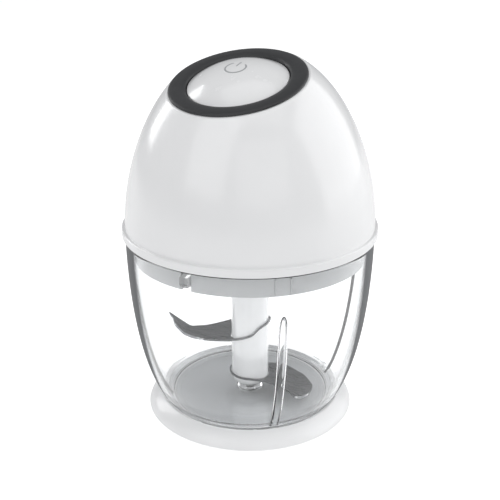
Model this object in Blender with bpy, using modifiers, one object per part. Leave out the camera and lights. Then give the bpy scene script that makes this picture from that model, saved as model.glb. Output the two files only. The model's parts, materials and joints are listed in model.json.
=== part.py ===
"""Cordless mini food processor: a flared foot, a clear bowl, a two-blade cutter and an egg-shaped motor head.

Lengths are written in millimetres and turned into metres where meshes are made. +Z is up, the origin is the
centre of the surface that the foot stands on, and -Y is the front, where the power button leans.
"""

import math

import bmesh
import bpy
from mathutils import Matrix, Vector

MM = 0.001
GAP = 0.3  # between pieces that rest on or sit in each other

# Foot
FOOT_R = 55.3
FOOT_TOP = 8.6
FOOT_UNDERSIDE = 0.8
SOCKET_R = 47.8
SOCKET_FLOOR = 4.6
SEAT = 6.0  # the ledge that carries the bowl's rim underneath
PAD_R = 41.4
PAD_TOP = 6.6
TREAD_IN = 43.0
TREAD_OUT = 51.5
TREAD_TOP = 2.2
GRIP_TABS = 10
GRIP_TAB_START = -93
GRIP_TAB_IN = 47.1
GRIP_TAB_HALF = 1.0
GRIP_TAB_LOW = 7.0
GRIP_TAB_TOP = 8.3

# Bowl
BOWL_R = 64.33
BOWL_REACH = 104.86
BOWL_BELLY = 1.95
BOWL_CORNER = 4.64
BOWL_RIM = 99.6
BOWL_WALL = 3.0
BOWL_BOTTOM = SEAT + GAP
BOWL_FLOOR = 8.5
BOWL_SHOULDER = 8.9
BOSS_R = 6.5
BOSS_TOP = 10.7
PIN_R = 2.0
PIN_TOP = 70.0
RIB_R = 1.9
RIB_SET = 0.2  # how far the rib's centre line lies inside the wall
RIB_LOW = 9.4
RIB_TOP = 78.0
RIB_ANGLES = (45, 135, 225, 315)
KEY_HALF = 2.3
KEY_IN = 55.2
KEY_LOW = 90.5
KEY_HIGH = 95.6

# Cutter
HUB_R = 10.1
HUB_LOW = 12.0
HUB_TOP = 94.0
HUB_BORE = 4.0
CUTTER_TURN = 30
BLADE_RING = 11.2
BLADE_HOLE = HUB_R + 0.35
BLADE_GAUGE = 1.0
UPPER_LEAN = math.radians(-16.7)  # the upper wing's folds run at this angle to its own Y axis
SOCKET_WELL = 80.0
HEX_FLATS = 8.8
HEX_PLAY = 0.3

# Head
COLLAR_R = 59.5
COLLAR_LOW = 88.0
COLLAR_WALL = 2.2
PLATE_LOW = 90.0
PLATE_TOP = 92.2
LIP_R = 66.0
LIP_LOW = 100.5
LIP_TOP = 104.1
DOME_R = 64.274
DOME_LOW = 106.5
DOME_RISE = 86.93
DOME_BELLY = 1.707
DOME_CORNER = 2.349
SHELL_WALL = 2.4
SHELL_BORE = 62.0
COVER_R = SHELL_BORE - GAP
COVER_TOP = 103.6
SCREW_CIRCLE = 51.0
SCREW_ANGLES = (45, 135, 225, 315)
SCREW_R = 1.25
SCREW_HOLE = 1.6

# Power button and its ring lean forward about the X axis
LEAN = math.radians(16.8)
RING_CENTRE = (0, -11.9, 179.9)
RING_R = 34.2
RING_BORE = 25.45
CAP_R = 25.0
CAP_BULGE = 7.8
CAP_EDGE = -1.2

# Planetary gearbox and motor
MODULE = 0.75
SUN_TEETH = 12
PLANET_TEETH = 18
RING_TEETH = SUN_TEETH + 2 * PLANET_TEETH
PLANET_ANGLES = (90, 210, 330)
PLANET_CIRCLE = MODULE * (SUN_TEETH + PLANET_TEETH) / 2
BACKLASH = 0.24
GEAR_LOW = 108.4
GEAR_TOP = 113.6
HOUSING_LOW = 103.8
HOUSING_TOP = 115.0
HOUSING_R = 21.5
EAR_CIRCLE = 25.2
EAR_R = 3.6
LID_TOP = 117.3
MOTOR_R = 17.5
MOTOR_LOW = LID_TOP + GAP
MOTOR_TOP = 154.0
CELL_R = 9.25
CELL_LENGTH = 50.0
CELL_X = 33.0
CELL_Y = 8.0

# Interlock, at the front, and charging port, at the back
PLUNGER_Y = -56.5
PLUNGER_R = 1.5
SHELF_LOW = 111.8
PORT_Z = 112.0
FLAP_HALF = 7.7
FLAP_LOW = 107.2
FLAP_TOP = 116.7
FLAP_GAUGE = 1.3

WHITE = ("white_abs", (0.86, 0.86, 0.86), 0.28, 0.0)
SOFT_WHITE = ("soft_white", (0.80, 0.80, 0.81), 0.55, 0.0)
GREY = ("grey_abs", (0.50, 0.52, 0.54), 0.40, 0.0)
DARK = ("dark_grey_abs", (0.075, 0.077, 0.080), 0.42, 0.0)
CLEAR = ("clear_polycarbonate", (0.92, 0.95, 0.96), 0.05, 0.0)
RUBBER = ("grey_elastomer", (0.33, 0.35, 0.37), 0.60, 0.0)
STEEL = ("brushed_steel", (0.45, 0.46, 0.47), 0.25, 1.0)
BRASS = ("sintered_bronze", (0.55, 0.42, 0.22), 0.35, 1.0)
NYLON = ("black_nylon", (0.04, 0.04, 0.045), 0.50, 0.0)
ACETAL = ("natural_acetal", (0.78, 0.77, 0.72), 0.45, 0.0)
BOARD = ("green_laminate", (0.03, 0.20, 0.08), 0.45, 0.0)
WRAP = ("blue_wrap", (0.05, 0.18, 0.42), 0.35, 0.0)
RED = ("red_insulation", (0.60, 0.03, 0.03), 0.45, 0.0)
BLACK = ("black_insulation", (0.02, 0.02, 0.02), 0.45, 0.0)


def clear_scene():
    for obj in list(bpy.data.objects):
        bpy.data.objects.remove(obj)


def new_collection(name):
    collection = bpy.data.collections.new(name)
    bpy.context.scene.collection.children.link(collection)
    return collection


clear_scene()
PARTS = new_collection("mini_food_processor")
CUTTERS = new_collection("cutters")


def material(spec):
    name, colour, roughness, metallic = spec
    made = bpy.data.materials.get(name)
    if made is None:
        made = bpy.data.materials.new(name)
        made.use_nodes = True
        shader = made.node_tree.nodes["Principled BSDF"]
        shader.inputs["Base Color"].default_value = (*colour, 1.0)
        shader.inputs["Roughness"].default_value = roughness
        shader.inputs["Metallic"].default_value = metallic
        if name.startswith("clear"):
            shader.inputs["Transmission Weight"].default_value = 1.0
    return made


def add(name, data, spec, parent=None):
    """Puts one named piece in the parts collection, under its parent empty if it has one."""
    obj = bpy.data.objects.new(name, data)
    PARTS.objects.link(obj)
    data.materials.append(material(spec))
    obj.parent = parent
    return obj


def cutter(name, data):
    obj = bpy.data.objects.new(name, data)
    CUTTERS.objects.link(obj)
    obj.hide_render = True
    obj.display_type = "WIRE"
    return obj


def axis_empty(name, location, turn=(0, 0, 0)):
    obj = bpy.data.objects.new(name, None)
    obj.empty_display_size = 0.01
    PARTS.objects.link(obj)
    obj.location = Vector(location) * MM
    obj.rotation_euler = turn
    return obj


def settle(obj):
    """Applies the modifiers and shades the result smooth, with edges over 30 degrees kept sharp."""
    bpy.context.view_layer.update()
    graph = bpy.context.evaluated_depsgraph_get()
    mesh = bpy.data.meshes.new_from_object(obj.evaluated_get(graph))
    mesh.name = obj.name
    obj.modifiers.clear()
    old = obj.data
    spec = old.materials[0] if old.materials else None
    if obj.type == "MESH":
        obj.data = mesh
    else:
        made = bpy.data.objects.new(obj.name, mesh)
        for collection in obj.users_collection:
            collection.objects.link(made)
        made.parent = obj.parent
        made.matrix_world = obj.matrix_world
        made.hide_render = obj.hide_render
        name = obj.name
        bpy.data.objects.remove(obj)
        made.name = name
        obj = made
        weld(obj)
    if spec is not None and not obj.data.materials:
        obj.data.materials.append(spec)
    obj.data.shade_smooth()
    obj.data.set_sharp_from_angle(angle=math.radians(30))
    return obj


def weld(obj):
    cage = bmesh.new()
    cage.from_mesh(obj.data)
    bmesh.ops.remove_doubles(cage, verts=cage.verts, dist=1e-6)
    bmesh.ops.recalc_face_normals(cage, faces=cage.faces)
    cage.to_mesh(obj.data)
    cage.free()


def profile_mesh(name, points, closed):
    """Edges in the XZ plane, from (radius, height) pairs."""
    mesh = bpy.data.meshes.new(name)
    cage = bmesh.new()
    verts = [cage.verts.new((radius * MM, 0, height * MM)) for radius, height in points]
    pairs = list(zip(verts, verts[1:]))
    if closed:
        pairs.append((verts[-1], verts[0]))
    for first, second in pairs:
        cage.edges.new((first, second))
    cage.to_mesh(mesh)
    cage.free()
    return mesh


def screw(obj, steps):
    turn = obj.modifiers.new("turn", "SCREW")
    turn.steps = steps
    turn.render_steps = steps
    turn.use_merge_vertices = True
    turn.merge_threshold = 1e-6
    return obj


def turned(name, points, spec, parent=None, steps=32, at=(0, 0, 0)):
    """A turned piece. The profile runs down its outer side; it is closed unless both ends are on the axis."""
    closed = points[0][0] > 0 or points[-1][0] > 0
    obj = add(name, profile_mesh(name, points, closed), spec, parent)
    obj.location = Vector(at) * MM
    return settle(screw(obj, steps))


def turned_cutter(name, points, steps=32, at=(0, 0, 0)):
    closed = points[0][0] > 0 or points[-1][0] > 0
    obj = cutter(name, profile_mesh(name, points, closed))
    obj.location = Vector(at) * MM
    return settle(screw(obj, steps))


def rod_profile(radius, low, high):
    return [(0, high), (radius, high), (radius, low), (0, low)]


def tube_profile(outer, inner, low, high):
    return [(outer, high), (outer, low), (inner, low), (inner, high)]


def rod_cutter(name, x, y, radius, low, high, steps=20):
    return turned_cutter(name, rod_profile(radius, low, high), steps, (x, y, 0))


def box_mesh(name, low, high):
    mesh = bpy.data.meshes.new(name)
    cage = bmesh.new()
    size = [(b - a) * MM for a, b in zip(low, high)]
    centre = [(a + b) / 2 * MM for a, b in zip(low, high)]
    placing = Matrix.Translation(centre) @ Matrix.Diagonal((*size, 1))
    bmesh.ops.create_cube(cage, size=1, matrix=placing)
    cage.to_mesh(mesh)
    cage.free()
    return mesh


def boolean(obj, other, operation):
    step = obj.modifiers.new(operation.lower(), "BOOLEAN")
    step.operation = operation
    step.object = other
    step.solver = "EXACT"
    return settle(obj)


def cut(obj, other):
    return boolean(obj, other, "DIFFERENCE")


def join(obj, other):
    return boolean(obj, other, "UNION")


def polar(radius, degrees):
    angle = math.radians(degrees)
    return radius * math.cos(angle), radius * math.sin(angle)


def outline_curve(name, loops, low, high):
    """A flat outline in the XY plane, with any holes as further loops, extruded from low to high."""
    curve = bpy.data.curves.new(name, "CURVE")
    curve.dimensions = "2D"
    curve.fill_mode = "BOTH"
    curve.extrude = (high - low) / 2 * MM
    for loop in loops:
        spline = curve.splines.new("POLY")
        spline.points.add(len(loop) - 1)
        spline.use_cyclic_u = True
        for point, (x, y) in zip(spline.points, loop):
            point.co = (x * MM, y * MM, 0, 1)
    return curve


def extruded(name, loops, low, high, spec, parent=None, at=(0, 0)):
    curve = outline_curve(name, loops, low, high)
    obj = add(name, curve, spec, parent)
    obj.location = Vector((at[0], at[1], (low + high) / 2)) * MM
    return settle(obj)


def extruded_cutter(name, loops, low, high):
    obj = cutter(name, outline_curve(name, loops, low, high))
    obj.location = Vector((0, 0, (low + high) / 2)) * MM
    return settle(obj)


def circle(radius, count=32, x=0, y=0):
    return [(x + dx, y + dy) for dx, dy in (polar(radius, 360 * i / count) for i in range(count))]


def wire(name, points, radius, spec, parent=None, resolution=1, radii=None):
    """A round wire through the points, with filled caps."""
    curve = bpy.data.curves.new(name, "CURVE")
    curve.dimensions = "3D"
    curve.bevel_depth = radius * MM
    curve.bevel_resolution = resolution
    curve.use_fill_caps = True
    spline = curve.splines.new("POLY")
    spline.points.add(len(points) - 1)
    for index, point in enumerate(points):
        spline.points[index].co = (*(Vector(point) * MM), 1)
        if radii:
            spline.points[index].radius = radii[index]
    return settle(add(name, curve, spec, parent))


def smooth_path(points, count):
    """Points along a Catmull-Rom curve through the given ones."""
    path = [Vector(point) for point in points]
    ends = [2 * path[0] - path[1], *path, 2 * path[-1] - path[-2]]
    found = []
    for step in range(count + 1):
        place = step / count * (len(path) - 1)
        index = min(int(place), len(path) - 2)
        t = place - index
        a, b, c, d = ends[index : index + 4]
        found.append(
            0.5 * (2 * b + (c - a) * t + (2 * a - 5 * b + 4 * c - d) * t**2 + (3 * b - a - 3 * c + d) * t**3)
        )
    return found


# ---------------------------------------------------------------- shared curves


def bowl_radius(z):
    """Outside radius of the bowl: a quarter of a superellipse from the rim down to the foot."""
    depth = (100 - z) / BOWL_REACH
    return BOWL_R * (1 - depth**BOWL_BELLY) ** (1 / BOWL_CORNER)


def dome_radius(z, inset=0.0):
    """Radius of the dome, or of the surface that lies inset below it."""
    rise = min(max((z - DOME_LOW) / (DOME_RISE - inset), 0), 1)
    return (DOME_R - inset) * (1 - rise**DOME_BELLY) ** (1 / DOME_CORNER)


def dome_points(count, inset=0.0):
    """(radius, height) pairs up the dome, closer together near the top."""
    points = []
    for step in range(count + 1):
        rise = math.sin(math.pi / 2 * step / count)
        z = DOME_LOW + rise * (DOME_RISE - inset)
        points.append((dome_radius(z, inset) if step < count else 0, z))
    return points


# ---------------------------------------------------------------- foot


def make_foot():
    flare = [(SOCKET_R + 0.4, FOOT_TOP), (49.0, 8.35), (50.9, 7.1), (53.2, 5.1), (54.4, 3.2), (55.1, 1.7)]
    under = [
        (54.6, FOOT_UNDERSIDE),
        (TREAD_OUT + GAP, FOOT_UNDERSIDE),
        (TREAD_OUT + GAP, TREAD_TOP + GAP),
        (TREAD_IN - GAP, TREAD_TOP + GAP),
        (TREAD_IN - GAP, FOOT_UNDERSIDE),
        (41.0, FOOT_UNDERSIDE),
        (40.4, 2.6),
        (0, 2.6),
    ]
    well = [(0, SOCKET_FLOOR), (PAD_R + GAP, SOCKET_FLOOR), (PAD_R + GAP, SEAT), (SOCKET_R, SEAT)]
    well.append((SOCKET_R, FOOT_TOP - 0.3))
    points = flare + [(FOOT_R, FOOT_UNDERSIDE + 0.5)] + under
    foot = turned("base_foot", well + points, SOFT_WHITE, steps=36)
    for index in range(GRIP_TABS):
        angle = math.radians(GRIP_TAB_START + 360 / GRIP_TABS * index)
        low = (GRIP_TAB_IN, -GRIP_TAB_HALF, GRIP_TAB_LOW)
        high = (SOCKET_R + 0.7, GRIP_TAB_HALF, GRIP_TAB_TOP)
        tab = cutter(f"grip_tab_{index}", box_mesh("grip_tab", low, high))
        tab.rotation_euler = (0, 0, angle)
        foot = join(foot, tab)
    pad = [(0, PAD_TOP), (PAD_R, PAD_TOP), (PAD_R, SOCKET_FLOOR + GAP), (0, SOCKET_FLOOR + GAP)]
    turned("base_pad", pad, RUBBER, steps=32)
    tread = [(TREAD_OUT, TREAD_TOP), (TREAD_OUT, 0.4), (51.0, 0), (43.5, 0), (TREAD_IN, 0.4), (TREAD_IN, TREAD_TOP)]
    turned("anti_slip_ring", tread, RUBBER, steps=32)


# ---------------------------------------------------------------- bowl


def make_bowl():
    heights = [BOWL_RIM - 0.8, 84, 66, 50, 36, 25, 17, 12, BOWL_SHOULDER]
    outer = [(bowl_radius(z), z) for z in heights]
    bottom = [(46.2, 7.9), (45.2, BOWL_BOTTOM), (42.6, BOWL_BOTTOM), (42.0, 6.9), (0, 6.9)]
    boss = [(0, 7.6), (PIN_R + GAP, 7.6), (PIN_R + GAP, BOSS_TOP), (BOSS_R - 0.6, BOSS_TOP)]
    boss += [(BOSS_R, BOSS_TOP - 0.6), (BOSS_R + 0.4, BOWL_FLOOR + 0.4), (BOSS_R + 1, BOWL_FLOOR)]
    floor = [(41.5, BOWL_FLOOR), (43.4, 9.1), (45.1, 10.9), (46.6, 13.6)]
    inner = [(bowl_radius(z) - BOWL_WALL, z) for z in reversed(heights[1:-2])]
    rim = [(bowl_radius(BOWL_RIM) - BOWL_WALL, BOWL_RIM - 0.6), (bowl_radius(99) - 2.5, BOWL_RIM)]
    rim += [(bowl_radius(99) - 0.5, BOWL_RIM)]
    loop = outer + bottom + boss + floor + inner + rim
    bowl = turned("bowl", loop, CLEAR, steps=36)
    for index, angle in enumerate(RIB_ANGLES):
        bowl = join(bowl, make_rib(index, angle))
    key = cutter("key", box_mesh("key", (-KEY_HALF, -62.4, KEY_LOW), (KEY_HALF, -KEY_IN, KEY_HIGH)))
    join(bowl, key)
    turned("pivot_pin", [(0, PIN_TOP), (1.4, PIN_TOP), (PIN_R, 69.3), (PIN_R, 8.0), (0, 8.0)], STEEL, steps=16)


def make_rib(index, angle):
    """A half-round rib up the inside of the wall, narrowing to a round top."""
    heights = [RIB_LOW, 15, 28, 47, RIB_TOP - 4.5, RIB_TOP - 1.5, RIB_TOP]
    radii = [1, 1, 1, 1, 1, 0.72, 0.15]
    path = []
    for z in heights:
        x, y = polar(bowl_radius(z) - BOWL_WALL + RIB_SET, angle)
        path.append((x, y, z))
    rib = wire(f"rib_{index}", path, RIB_R, CLEAR, resolution=1, radii=radii)
    PARTS.objects.unlink(rib)
    CUTTERS.objects.link(rib)
    rib.hide_render = True
    rib.display_type = "WIRE"
    return rib


# ---------------------------------------------------------------- cutter


def make_hub(turn):
    outer = [(9.4, HUB_TOP), (HUB_R, HUB_TOP - 0.7), (HUB_R, 16.0), (9.4, 14.0), (7.8, 12.5), (6.8, HUB_LOW)]
    bore = [(HUB_BORE, HUB_LOW), (HUB_BORE, SOCKET_WELL - 4), (8.2, SOCKET_WELL - 2), (8.2, HUB_TOP)]
    turned("blade_hub", outer + bore, WHITE, turn, steps=24)
    turned("hub_bush", tube_profile(HUB_BORE - GAP, PIN_R + 0.06, HUB_LOW + 0.2, 30), BRASS, turn, steps=20)
    insert = turned("drive_socket", tube_profile(7.9, 0.1, SOCKET_WELL, HUB_TOP - 0.3), ACETAL, turn, steps=24)
    cut(insert, extruded_cutter("hex_hole", [hexagon(HEX_FLATS + 2 * HEX_PLAY)], SOCKET_WELL - 1, HUB_TOP + 1))


def hexagon(flats):
    return circle(flats / math.sqrt(3), 6)


def blade(name, edge, holes_at, levels, turn, lean=0.0):
    """A pressed steel blade: a flat outline round the hub, bent along parallel lines across its span.

    levels holds (distance along the span, height) pairs; between them the sheet is flat. The span is the
    blade's own X axis, turned by lean.
    """
    span = Vector((math.cos(lean), math.sin(lean), 0))
    face = outline_curve(name, [edge, circle(holes_at, 24)], 0, 0)
    obj = settle(add(name, face, STEEL, turn))
    sheet = bmesh.new()
    sheet.from_mesh(obj.data)
    for fold, _ in levels[1:-1]:
        parts = sheet.verts[:] + sheet.edges[:] + sheet.faces[:]
        bmesh.ops.bisect_plane(sheet, geom=parts, plane_co=span * fold * MM, plane_no=span)
    for vert in sheet.verts:
        flat = Vector((vert.co.x, vert.co.y, 0))
        vert.co.z = height_at(levels, flat.dot(span) / MM) * MM
    if sum(face.normal.z for face in sheet.faces) < 0:
        bmesh.ops.reverse_faces(sheet, faces=sheet.faces)
    sheet.to_mesh(obj.data)
    sheet.free()
    thick = obj.modifiers.new("gauge", "SOLIDIFY")
    thick.thickness = BLADE_GAUGE * MM
    thick.offset = 0
    thick.use_even_offset = True
    return settle(obj)


def height_at(levels, x):
    for (x0, z0), (x1, z1) in zip(levels, levels[1:]):
        if x <= x1:
            return z0 + (z1 - z0) * (x - x0) / (x1 - x0)
    return levels[-1][1]


def arc(radius, start, end, count):
    return [polar(radius, start + (end - start) * i / count) for i in range(count + 1)]


def make_cutter():
    turn = axis_empty("cutter_axis", (0, 0, 0), (0, 0, math.radians(CUTTER_TURN)))
    make_hub(turn)
    # The upper wing reaches out along -X, nearly level to a slanted crease, and turns up at its blunt tip.
    collar = arc(BLADE_RING, -141, 66, 18)
    spine = [(0.5, 14.2), (-4.4, 17.9), (-9.4, 19.6), (-12.7, 18.2), (-16.6, 16.2), (-21.0, 14.2)]
    spine += [(-24.8, 13.0), (-28.7, 12.7), (-36.4, 12.7), (-45.2, 12.9)]
    cutting = [(-43.9, 10.9), (-42.7, 9.3), (-41.4, 5.8), (-38.1, 3.8), (-34.7, 2.0), (-32.4, -0.2)]
    cutting += [(-29.6, -2.0), (-25.7, -3.9), (-21.4, -5.2), (-17.0, -6.0), (-13.3, -6.5)]
    upper = [(-48, 46.9), (-35.3, 37.6), (-8.0, 38.8), (4.7, 44.0), (7.5, 47.4), (11.5, 49.2)]
    blade("upper_blade", collar + spine + cutting, BLADE_HOLE, upper, turn, UPPER_LEAN)
    # The lower wing reaches out along +X just above the floor, with a wide hooked end.
    collar = arc(BLADE_RING, 60, 292, 16)
    hook = [(13.0, -12.0), (19.5, -15.4), (23.4, -21.6), (30.5, -19.7), (33.6, -12.9), (32.2, -5.2)]
    back = [(28.6, 4.6), (21.8, 11.6), (14.0, 12.2)]
    lower = [(-12.5, 18.1), (0.0, 17.7), (27.0, 12.1), (35.0, 14.4)]
    blade("lower_blade", collar + hook + back, BLADE_HOLE, lower, turn)
    washer = tube_profile(BOSS_R - 0.9, PIN_R + GAP, BOSS_TOP + GAP, HUB_LOW - GAP)
    turned("thrust_washer", washer, ACETAL, steps=20)


# ---------------------------------------------------------------- head casing


def make_base_cover():
    outside = [(COVER_R, COVER_TOP), (COVER_R, 101.6), (COLLAR_R, 101.6), (COLLAR_R, COLLAR_LOW + 0.6)]
    inside = COLLAR_R - COLLAR_WALL
    skirt = [(COLLAR_R - 0.5, COLLAR_LOW), (inside + 0.3, COLLAR_LOW), (inside, COLLAR_LOW + 0.4), (inside, PLATE_LOW)]
    recess = [(13.5, PLATE_LOW), (13.5, 97.5), (5.3, 97.5), (5.3, 99.6), (7.7, 99.6), (7.7, 103.5)]
    chimney = [(10.5, 103.5), (10.5, 99.7), (15.7, 99.7), (15.7, PLATE_TOP)]
    wall = [(inside, PLATE_TOP), (inside, COVER_TOP)]
    cover = turned("motor_base_cover", outside + skirt + recess + chimney + wall, GREY, steps=36)
    cover = add_guides(cover)
    cover = add_interlock_block(cover)
    for index, angle in enumerate(PLANET_ANGLES):
        x, y = polar(EAR_CIRCLE, angle)
        cover = join(cover, rod_cutter(f"post_{index}", x, y, 3.2, PLATE_TOP - 0.7, 103.5, 16))
        cover = cut(cover, rod_cutter(f"post_hole_{index}", x, y, SCREW_HOLE, 94.0, 104.5, 12))
    for index, angle in enumerate(SCREW_ANGLES):
        x, y = polar(SCREW_CIRCLE, angle)
        cover = cut(cover, rod_cutter(f"plate_hole_{index}", x, y, SCREW_HOLE, 89.0, 93.0, 12))
    rest = cutter("board_rest", box_mesh("board_rest", (-3, 50, PLATE_TOP - 0.7), (3, 54, 108.1)))
    join(cover, rest)


def add_guides(cover):
    """Pairs of low upright guides outside the collar, in line with the ribs of the bowl."""
    for index, angle in enumerate(RIB_ANGLES):
        for side in (-1, 1):
            guide = cutter(f"guide_{index}_{side}", box_mesh("guide", (59.0, -0.5, 88.8), (60.1, 0.5, 96.6)))
            guide.rotation_euler = (0, 0, math.radians(angle + side * 3.65))
            cover = join(cover, guide)
    return cover


def add_interlock_block(cover):
    """A block behind the collar with the key slot, the plunger's hole, and the shelf and post of the switch."""
    block = cutter("interlock_block", box_mesh("interlock_block", (-4.8, -58.4, 91.0), (4.8, -53.0, 103.6)))
    post = cutter("switch_post", box_mesh("switch_post", (4.1, -58.3, 102.6), (7.1, -52.8, 123.0)))
    shelf = cutter("switch_shelf", box_mesh("switch_shelf", (-5.0, -58.8, SHELF_LOW), (5.2, -52.6, SHELF_LOW + 1.6)))
    slot = cutter("key_slot", box_mesh("key_slot", (-2.8, -61.0, 86.0), (2.8, -54.6, 98.2)))
    for added in (block, post, shelf):
        cover = join(cover, added)
    cover = cut(cover, slot)
    return cut(cover, rod_cutter("plunger_hole", 0, PLUNGER_Y, PLUNGER_R + GAP, 97.5, 114.5, 16))


def make_shell():
    outside = list(reversed(dome_points(10)))
    lip = [(64.4, LIP_TOP + 0.1), (65.5, LIP_TOP), (LIP_R, LIP_TOP - 0.5), (LIP_R, LIP_LOW + 0.4)]
    under = [(LIP_R - 0.4, LIP_LOW), (SHELL_BORE + 0.2, LIP_LOW), (SHELL_BORE, LIP_LOW + 0.3)]
    inside = [(SHELL_BORE, DOME_LOW)] + dome_points(7, SHELL_WALL)[1:]
    shell = turned("head_shell", outside + lip + under + inside, WHITE, steps=40)
    for index, angle in enumerate(SCREW_ANGLES):
        x, y = polar(SCREW_CIRCLE, angle)
        shell = join(shell, rod_cutter(f"boss_{index}", x, y, 3.4, PLATE_TOP + 0.4, 147.0, 16))
        shell = cut(shell, rod_cutter(f"boss_hole_{index}", x, y, SCREW_HOLE, 91.0, 114.0, 12))
    above = cutter("lean_cut", box_mesh("lean_cut", (-60, -60, -1.2), (60, 60, 60)))
    above.location = Vector(RING_CENTRE) * MM
    above.rotation_euler = (LEAN, 0, 0)
    shell = cut(shell, above)
    shell = cut(shell, flap_block("flap_recess", GAP))
    hole = cutter("port_hole", box_mesh("port_hole", (-5.1, 56, PORT_Z - 2.1), (5.1, 70, PORT_Z + 1.9)))
    cut(shell, hole)


def flap_block(name, margin):
    """The piece of the dome's skin that the charging port's flap fills, with a margin round it."""
    low = DOME_LOW - 2
    heights = [low + step * 2.6 for step in range(6)]
    outer = [(dome_radius(z) + 0.1 + 4 * margin, z) for z in reversed(heights)]
    inner = [(dome_radius(z) - FLAP_GAUGE - margin, z) for z in heights]
    skin = turned_cutter(name, outer + inner, 48)
    frame = box_mesh(
        "flap_frame",
        (-FLAP_HALF - margin, 50, FLAP_LOW - margin),
        (FLAP_HALF + margin, 70, FLAP_TOP + margin),
    )
    return boolean(skin, cutter(name + "_frame", frame), "INTERSECT")


def make_head_details():
    seal = [(COLLAR_R + 1.5, 100.6), (COLLAR_R + 1.5, 98.6), (COLLAR_R + 0.3, 98.2), (COLLAR_R + 0.3, 101.2)]
    turned("bowl_seal", seal, SOFT_WHITE, steps=32)
    for index, angle in enumerate(SCREW_ANGLES, 1):
        head = [(0, 89.7), (2.9, 89.7), (2.9, 88.9), (2.2, 88.2), (0, 88.2)]
        shank = [(0, 112.0), (0.4, 112.0), (SCREW_R, 110.5), (SCREW_R, 89.7), (2.9, 89.7)]
        x, y = polar(SCREW_CIRCLE, angle)
        turned(f"cover_screw_{index}", shank + head[2:], STEEL, steps=12, at=(x, y, 0))
    hinge = axis_empty("port_flap_hinge", (0, dome_radius(FLAP_TOP) + 0.1, FLAP_TOP + 0.2))
    skin = flap_block("flap_solid", 0.0)
    flap = add("port_flap", skin.data.copy(), SOFT_WHITE, hinge)
    flap.location = -hinge.location


# ---------------------------------------------------------------- power button


def make_button():
    lean = axis_empty("button_axis", RING_CENTRE, (LEAN, 0, 0))
    top = [(32.6, 0.45), (33.8, 0.1), (RING_R, -0.5), (RING_R, -0.9), (27.1, -0.9), (27.1, -6.0)]
    bore = [(RING_BORE, -6.0), (RING_BORE, -1.2), (26.0, -0.5), (27.4, 0.25)]
    turned("trim_ring", top + bore, DARK, lean, steps=36)
    ball = (CAP_R**2 + CAP_BULGE**2) / (2 * CAP_BULGE)
    centre = CAP_EDGE + CAP_BULGE - ball
    outer = [(0, CAP_EDGE + CAP_BULGE)] + cap_arc(ball, centre, 24.4, 5)
    skirt = [(CAP_R, -1.9), (CAP_R, -8.0), (CAP_R - 1.8, -8.0), (CAP_R - 1.8, -2.6)]
    inner = list(reversed(cap_arc(ball - 1.9, centre, 22.0, 3)))[:-1]
    stem = [(3.2, inner[-1][1] - 0.2), (3.0, -4.2), (0, -4.2)]
    turned("power_button", outer + skirt + inner + stem, WHITE, lean, steps=28)
    wall = [(29.2, -3.2), (29.2, -14.6), (0, -14.6), (0, -12.6), (27.5, -12.6), (27.5, -3.2)]
    bracket = turned("button_bracket", wall, GREY, lean, steps=24)
    for index, (x, y) in enumerate(((-14, 8), (-7, 8), (7, 8), (14, 8))):
        drill = rod_cutter(f"lead_hole_{index}", 0, 0, 2.2, -20, 2, 12)
        drill.matrix_world = lean.matrix_world @ Matrix.Translation(Vector((x, y, 0)) * MM)
        bracket = cut(bracket, drill)
    turned("control_board", [(0, -10.7), (20, -10.7), (20, -12.3), (0, -12.3)], BOARD, lean, steps=32)
    switch = add("tact_switch", box_mesh("tact_switch", (-3, -3, -10.4), (3, 3, -7.2)), NYLON, lean)
    plunger = turned_cutter("tact_plunger", rod_profile(1.7, -8.0, -6.5), 16)
    plunger.matrix_world = lean.matrix_world.copy()
    join(switch, plunger)


def cap_arc(ball, centre, edge, count):
    """Points on a sphere about the axis, from near the top out to the edge radius."""
    limit = math.asin(edge / ball)
    steps = [limit * (index + 1) / count for index in range(count)]
    return [(ball * math.sin(step), centre + ball * math.cos(step)) for step in steps]


# ---------------------------------------------------------------- drive


def gear_outline(teeth, tip, root, half_pitch_width, flank, start=0.0):
    """Trapezoid teeth, given the half width at the pitch radius and the flank's slope."""
    pitch_radius = MODULE * teeth / 2
    points = []
    for tooth in range(teeth):
        middle = math.radians(start) + 2 * math.pi * tooth / teeth
        for side, radius in ((-1, root), (-1, tip), (1, tip), (1, root)):
            half = half_pitch_width - (radius - pitch_radius) * flank
            angle = middle + side * half / radius
            points.append((radius * math.cos(angle), radius * math.sin(angle)))
    return points


def outer_gear(teeth, start):
    pitch_radius = MODULE * teeth / 2
    half = math.pi * MODULE / 4 - BACKLASH / 2
    tip = pitch_radius + 0.85 * MODULE
    root = pitch_radius - 1.15 * MODULE
    return gear_outline(teeth, tip, root, half, math.tan(math.radians(20)), start)


def ring_gear_hole():
    pitch_radius = MODULE * RING_TEETH / 2
    half = math.pi * MODULE / 4 + BACKLASH / 2
    tip = pitch_radius + 1.15 * MODULE
    root = pitch_radius - 0.85 * MODULE
    return gear_outline(RING_TEETH, tip, root, half, math.tan(math.radians(20)), 180 / RING_TEETH)


def eared_disc():
    """The round housing outline with three ears, walked by angle."""
    points = []
    steps = 60
    for step in range(steps):
        angle = 360 * step / steps
        reach = HOUSING_R
        for ear in PLANET_ANGLES:
            off = abs((angle - ear + 180) % 360 - 180)
            if off < 14:
                bow = math.sin(math.radians(off)) * EAR_CIRCLE
                if bow < EAR_R:
                    side = math.cos(math.radians(off)) * EAR_CIRCLE
                    reach = max(reach, side + math.sqrt(EAR_R**2 - bow**2))
        points.append(polar(reach, angle))
    return points


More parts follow.
